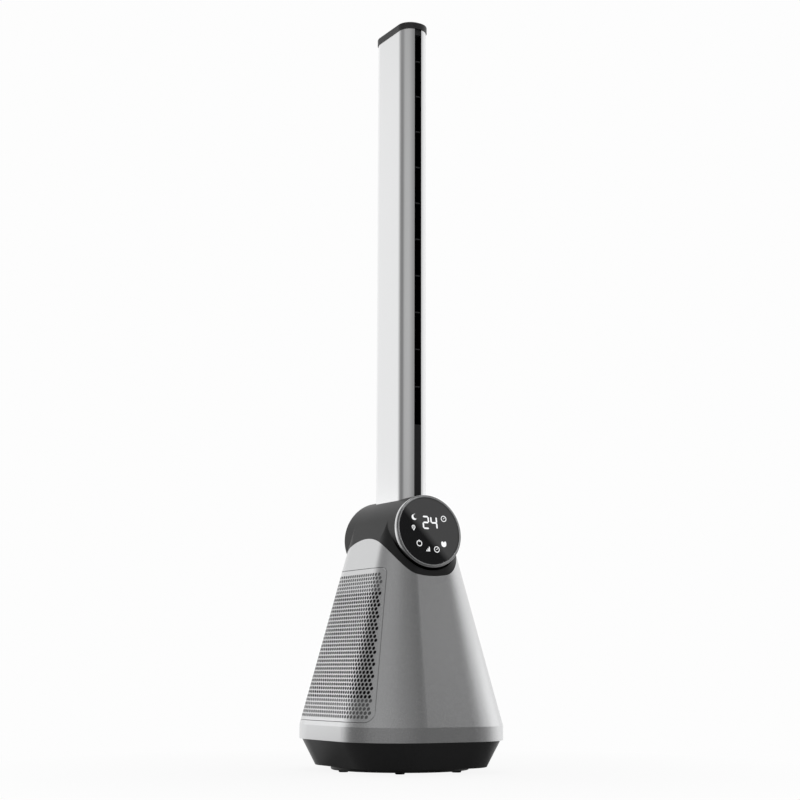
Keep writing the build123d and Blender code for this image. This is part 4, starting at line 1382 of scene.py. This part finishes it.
@dataclass
class Studio:
    """Camera, floor, world and lamps, set by the angle from which the picture was taken."""

    turn: float = 30.0
    aim: float = 29.964
    distance: float = 2.0477
    eye_height: float = 0.1225
    pitch: float = 9.963
    roll: float = 0.165
    lens: float = 70.0
    sensor: float = 36.0
    view_end: float = 100.0
    backdrop: float = 0.982
    # the studio as metal shows it: bearings round the fan, 0 towards the camera, and their light
    room_low: tuple[Flat, ...] = (
        (-180.0, 1.0), (-125.0, 0.99), (-110.0, 0.82), (-97.0, 0.48), (-85.0, 0.25), (-65.0, 0.22),
        (-45.0, 0.5), (-10.0, 0.53), (15.0, 0.43), (45.0, 0.22), (58.0, 0.16), (68.0, 0.25),
        (82.0, 0.58), (95.0, 0.78), (115.0, 0.97), (180.0, 1.0),
    )
    room_high: tuple[Flat, ...] = (
        (-180.0, 1.0), (-130.0, 1.0), (-118.0, 0.76), (-107.0, 0.44), (-95.0, 0.34), (-65.0, 0.34),
        (-35.0, 0.36), (-10.0, 0.31), (15.0, 0.21), (40.0, 0.185), (54.0, 0.16), (66.0, 0.15),
        (76.0, 0.29), (92.0, 0.52), (112.0, 0.86), (128.0, 1.0), (180.0, 1.0),
    )
    # where one light gives way to the next, as the share of a ray's length that goes up or away
    upper_rise: Flat = (0.34, 0.48)
    horizon_rise: Flat = (-0.06, 0.15)
    front_reach: Flat = (-0.1, 0.5)
    horizon_dim: float = 0.45
    # the slanted card whose edge the glass shows
    card_way: Triple = (0.511, -0.7668, 0.3885)
    card_edge: Triple = (0.6274, 0.6425, 0.44)
    card_reach: float = 5.0
    card_blur: float = 0.002
    card_light: float = 0.68
    card_dark: float = 0.10
    floor_reach: float = 30.0
    floor_colour: Colour = (0.85, 0.85, 0.85)
    floor_front: float = 0.16
    floor_rear: float = 1.0
    floor_rear_reach: Flat = (-0.1, 0.6)
    # how much of the shadow the floor's own light covers by the fan, and the distances over which
    # it comes to cover all of it
    shadow_cover: float = 0.92
    shadow_reach: Flat = (0.15, 0.6)
    lamps: tuple[Lamp, ...] = (
        Lamp("left_lamp", 0.15, -115.0, 4.0, 1.5, (0.9, 0.5), 0.35),
        Lamp("right_lamp", 0.15, 118.0, 4.0, 1.5, (0.9, 0.5), 0.3),
        Lamp("top_lamp", 0.35, 0.0, 84.0, 2.0, (1.4, 1.4), 8.0),
    )

    def ways(self) -> tuple[Vector, Vector]:
        """The camera's level forward and right directions.

        Returns:
            The two directions, of length one.
        """
        turn = math.radians(self.turn)
        forward = Vector((math.sin(turn), math.cos(turn), 0.0))
        right = Vector((math.cos(turn), -math.sin(turn), 0.0))
        return forward, right

    def set_camera(self) -> None:
        """Place the camera."""
        forward, _ = self.ways()
        lens = bpy.data.cameras.new("camera")
        lens.lens = self.lens
        lens.sensor_width = self.sensor
        lens.clip_end = self.view_end
        camera = place_object("camera", lens)
        camera.location = -forward * self.distance + UP * self.eye_height
        turned = Matrix.Rotation(math.radians(-self.aim), 3, "Z")
        raised = Matrix.Rotation(math.radians(90.0 + self.pitch), 3, "X")
        rolled = Matrix.Rotation(math.radians(self.roll), 3, "Z")
        camera.rotation_euler = (turned @ raised @ rolled).to_euler()
        bpy.context.scene.camera = camera

    def lay_floor(self) -> None:
        """Lay a wide pale floor that shows the fan's shadow."""
        reach = self.floor_reach
        corners = [(x * reach, y * reach, 0.0) for x, y in ((-1, -1), (1, -1), (1, 1), (-1, 1))]
        mesh = bpy.data.meshes.new("floor")
        mesh.from_pydata(corners, [], [(0, 1, 2, 3)])
        material = bpy.data.materials.new("pale_floor")
        material.use_nodes = True
        self._fill_floor(Recipe(material.node_tree))
        mesh.materials.append(material)
        floor = place_object("floor", mesh)

    def _fill_floor(self, recipe: Recipe) -> None:
        """Write the floor's nodes: its own light, and a little matt near the fan for the shadow.

        Args:
            recipe: The empty node tree of the floor's material.
        """
        place = recipe.place()
        forward, _ = self.ways()
        length = recipe.number("ShaderNodeVectorMath", {"operation": "LENGTH"}, {0: place}, "Value")
        unit = recipe.node("ShaderNodeVectorMath", {"operation": "NORMALIZE"}, {0: place})
        away = length.within(*self.shadow_reach)
        rear = recipe.along(unit.outputs[0], forward).within(*self.floor_rear_reach)
        seen = recipe.ray("Camera") + recipe.ray("Transmission")
        mirrored = recipe.ray("Glossy")
        share = seen * (away * (1.0 - self.shadow_cover) + self.shadow_cover) + mirrored
        room = rear * (self.floor_rear - self.floor_front) + self.floor_front
        level = seen * self.backdrop + mirrored * room
        matt = recipe.node("ShaderNodeBsdfDiffuse", {}, {"Color": self.floor_colour})
        glow = recipe.node("ShaderNodeEmission", {}, {"Color": WHITE, "Strength": level})
        both = {0: share, 1: matt.outputs[0], 2: glow.outputs[0]}
        surface = recipe.node("ShaderNodeMixShader", {}, both)
        recipe.node("ShaderNodeOutputMaterial", {}, {"Surface": surface.outputs[0]})

    def set_world(self) -> None:
        """Light the fan evenly, with a white backdrop behind it and a dim room in front."""
        world = bpy.data.worlds.new("studio")
        bpy.context.scene.world = world
        world.use_nodes = True
        recipe = Recipe(world.node_tree)
        forward, right = self.ways()
        way = recipe.node("ShaderNodeTexCoord", {}, {}).outputs["Generated"]
        seen = recipe.ray("Camera") + recipe.ray("Transmission")
        level_way = {0: recipe.along(way, right), 1: recipe.along(way, -forward)}
        bearing = recipe.number("ShaderNodeMath", {"operation": "ARCTAN2"}, level_way)
        turn = bearing / (2.0 * math.pi) + 0.5
        low = self.lit_round(recipe, turn, self.room_low)
        high = self.lit_round(recipe, turn, self.room_high)
        rise = recipe.along(way, UP)
        upper = rise.within(*self.upper_rise)
        front = 1.0 - recipe.along(way, forward).within(*self.front_reach)
        dim = front * (1.0 - rise.within(*self.horizon_rise)) * self.horizon_dim
        room = (low * (1.0 - upper) + high * upper) * (1.0 - dim)
        card = recipe.along(way, Vector(self.card_way)) > math.cos(math.radians(self.card_reach))
        lit = recipe.along(way, Vector(self.card_edge)).within(-self.card_blur, self.card_blur)
        card_level = lit * (self.card_light - self.card_dark) + self.card_dark
        room = room * (1.0 - card) + card * card_level
        level = seen * self.backdrop + (1.0 - seen) * room
        light = recipe.node("ShaderNodeBackground", {}, {"Color": WHITE, "Strength": level})
        recipe.node("ShaderNodeOutputWorld", {}, {"Surface": light.outputs[0]})

    @staticmethod
    def lit_round(recipe: Recipe, turn: Number, levels: Sequence[Flat]) -> Number:
        """The room's light by bearing.

        Args:
            recipe: The world's node tree.
            turn: The bearing, as a share of the full circle from -180 degrees.
            levels: Bearings in degrees and their light.

        Returns:
            The light.
        """
        stops = [(place / 360.0 + 0.5, (light, light, light)) for place, light in levels]
        return recipe.number("ShaderNodeValToRGB", {"stops": stops}, {0: turn})

    def hang_lamps(self) -> None:
        """Hang the side lamps and the top lamp."""
        forward, right = self.ways()
        for lamp in self.lamps:
            aim = UP * lamp.aim_height
            bearing, rise = math.radians(lamp.bearing), math.radians(lamp.rise)
            level = right * math.sin(bearing) - forward * math.cos(bearing)
            spot = aim + (level * math.cos(rise) + UP * math.sin(rise)) * lamp.distance
            light = bpy.data.lights.new(lamp.name, "AREA")
            light.shape = "RECTANGLE"
            light.size, light.size_y = lamp.size
            light.energy = lamp.power
            holder = place_object(lamp.name, light)
            holder.location = spot
            holder.rotation_euler = (aim - spot).to_track_quat("-Z", "Y").to_euler()
            log.info("%s: %.2f W", lamp.name, lamp.power)


def main() -> None:
    """Build the scene."""
    logging.basicConfig(level=logging.INFO, format="%(message)s")
    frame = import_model()
    bpy.context.scene.view_settings.view_transform = "Standard"
    CarriedParts(frame).dress()
    for side in Side:
        IntakePanel(side).build()
    display = Display()
    display.build_ring()
    display.build_signs()
    studio = Studio()
    studio.set_camera()
    studio.lay_floor()
    studio.set_world()
    studio.hang_lamps()


if __name__ == "__main__":
    main()
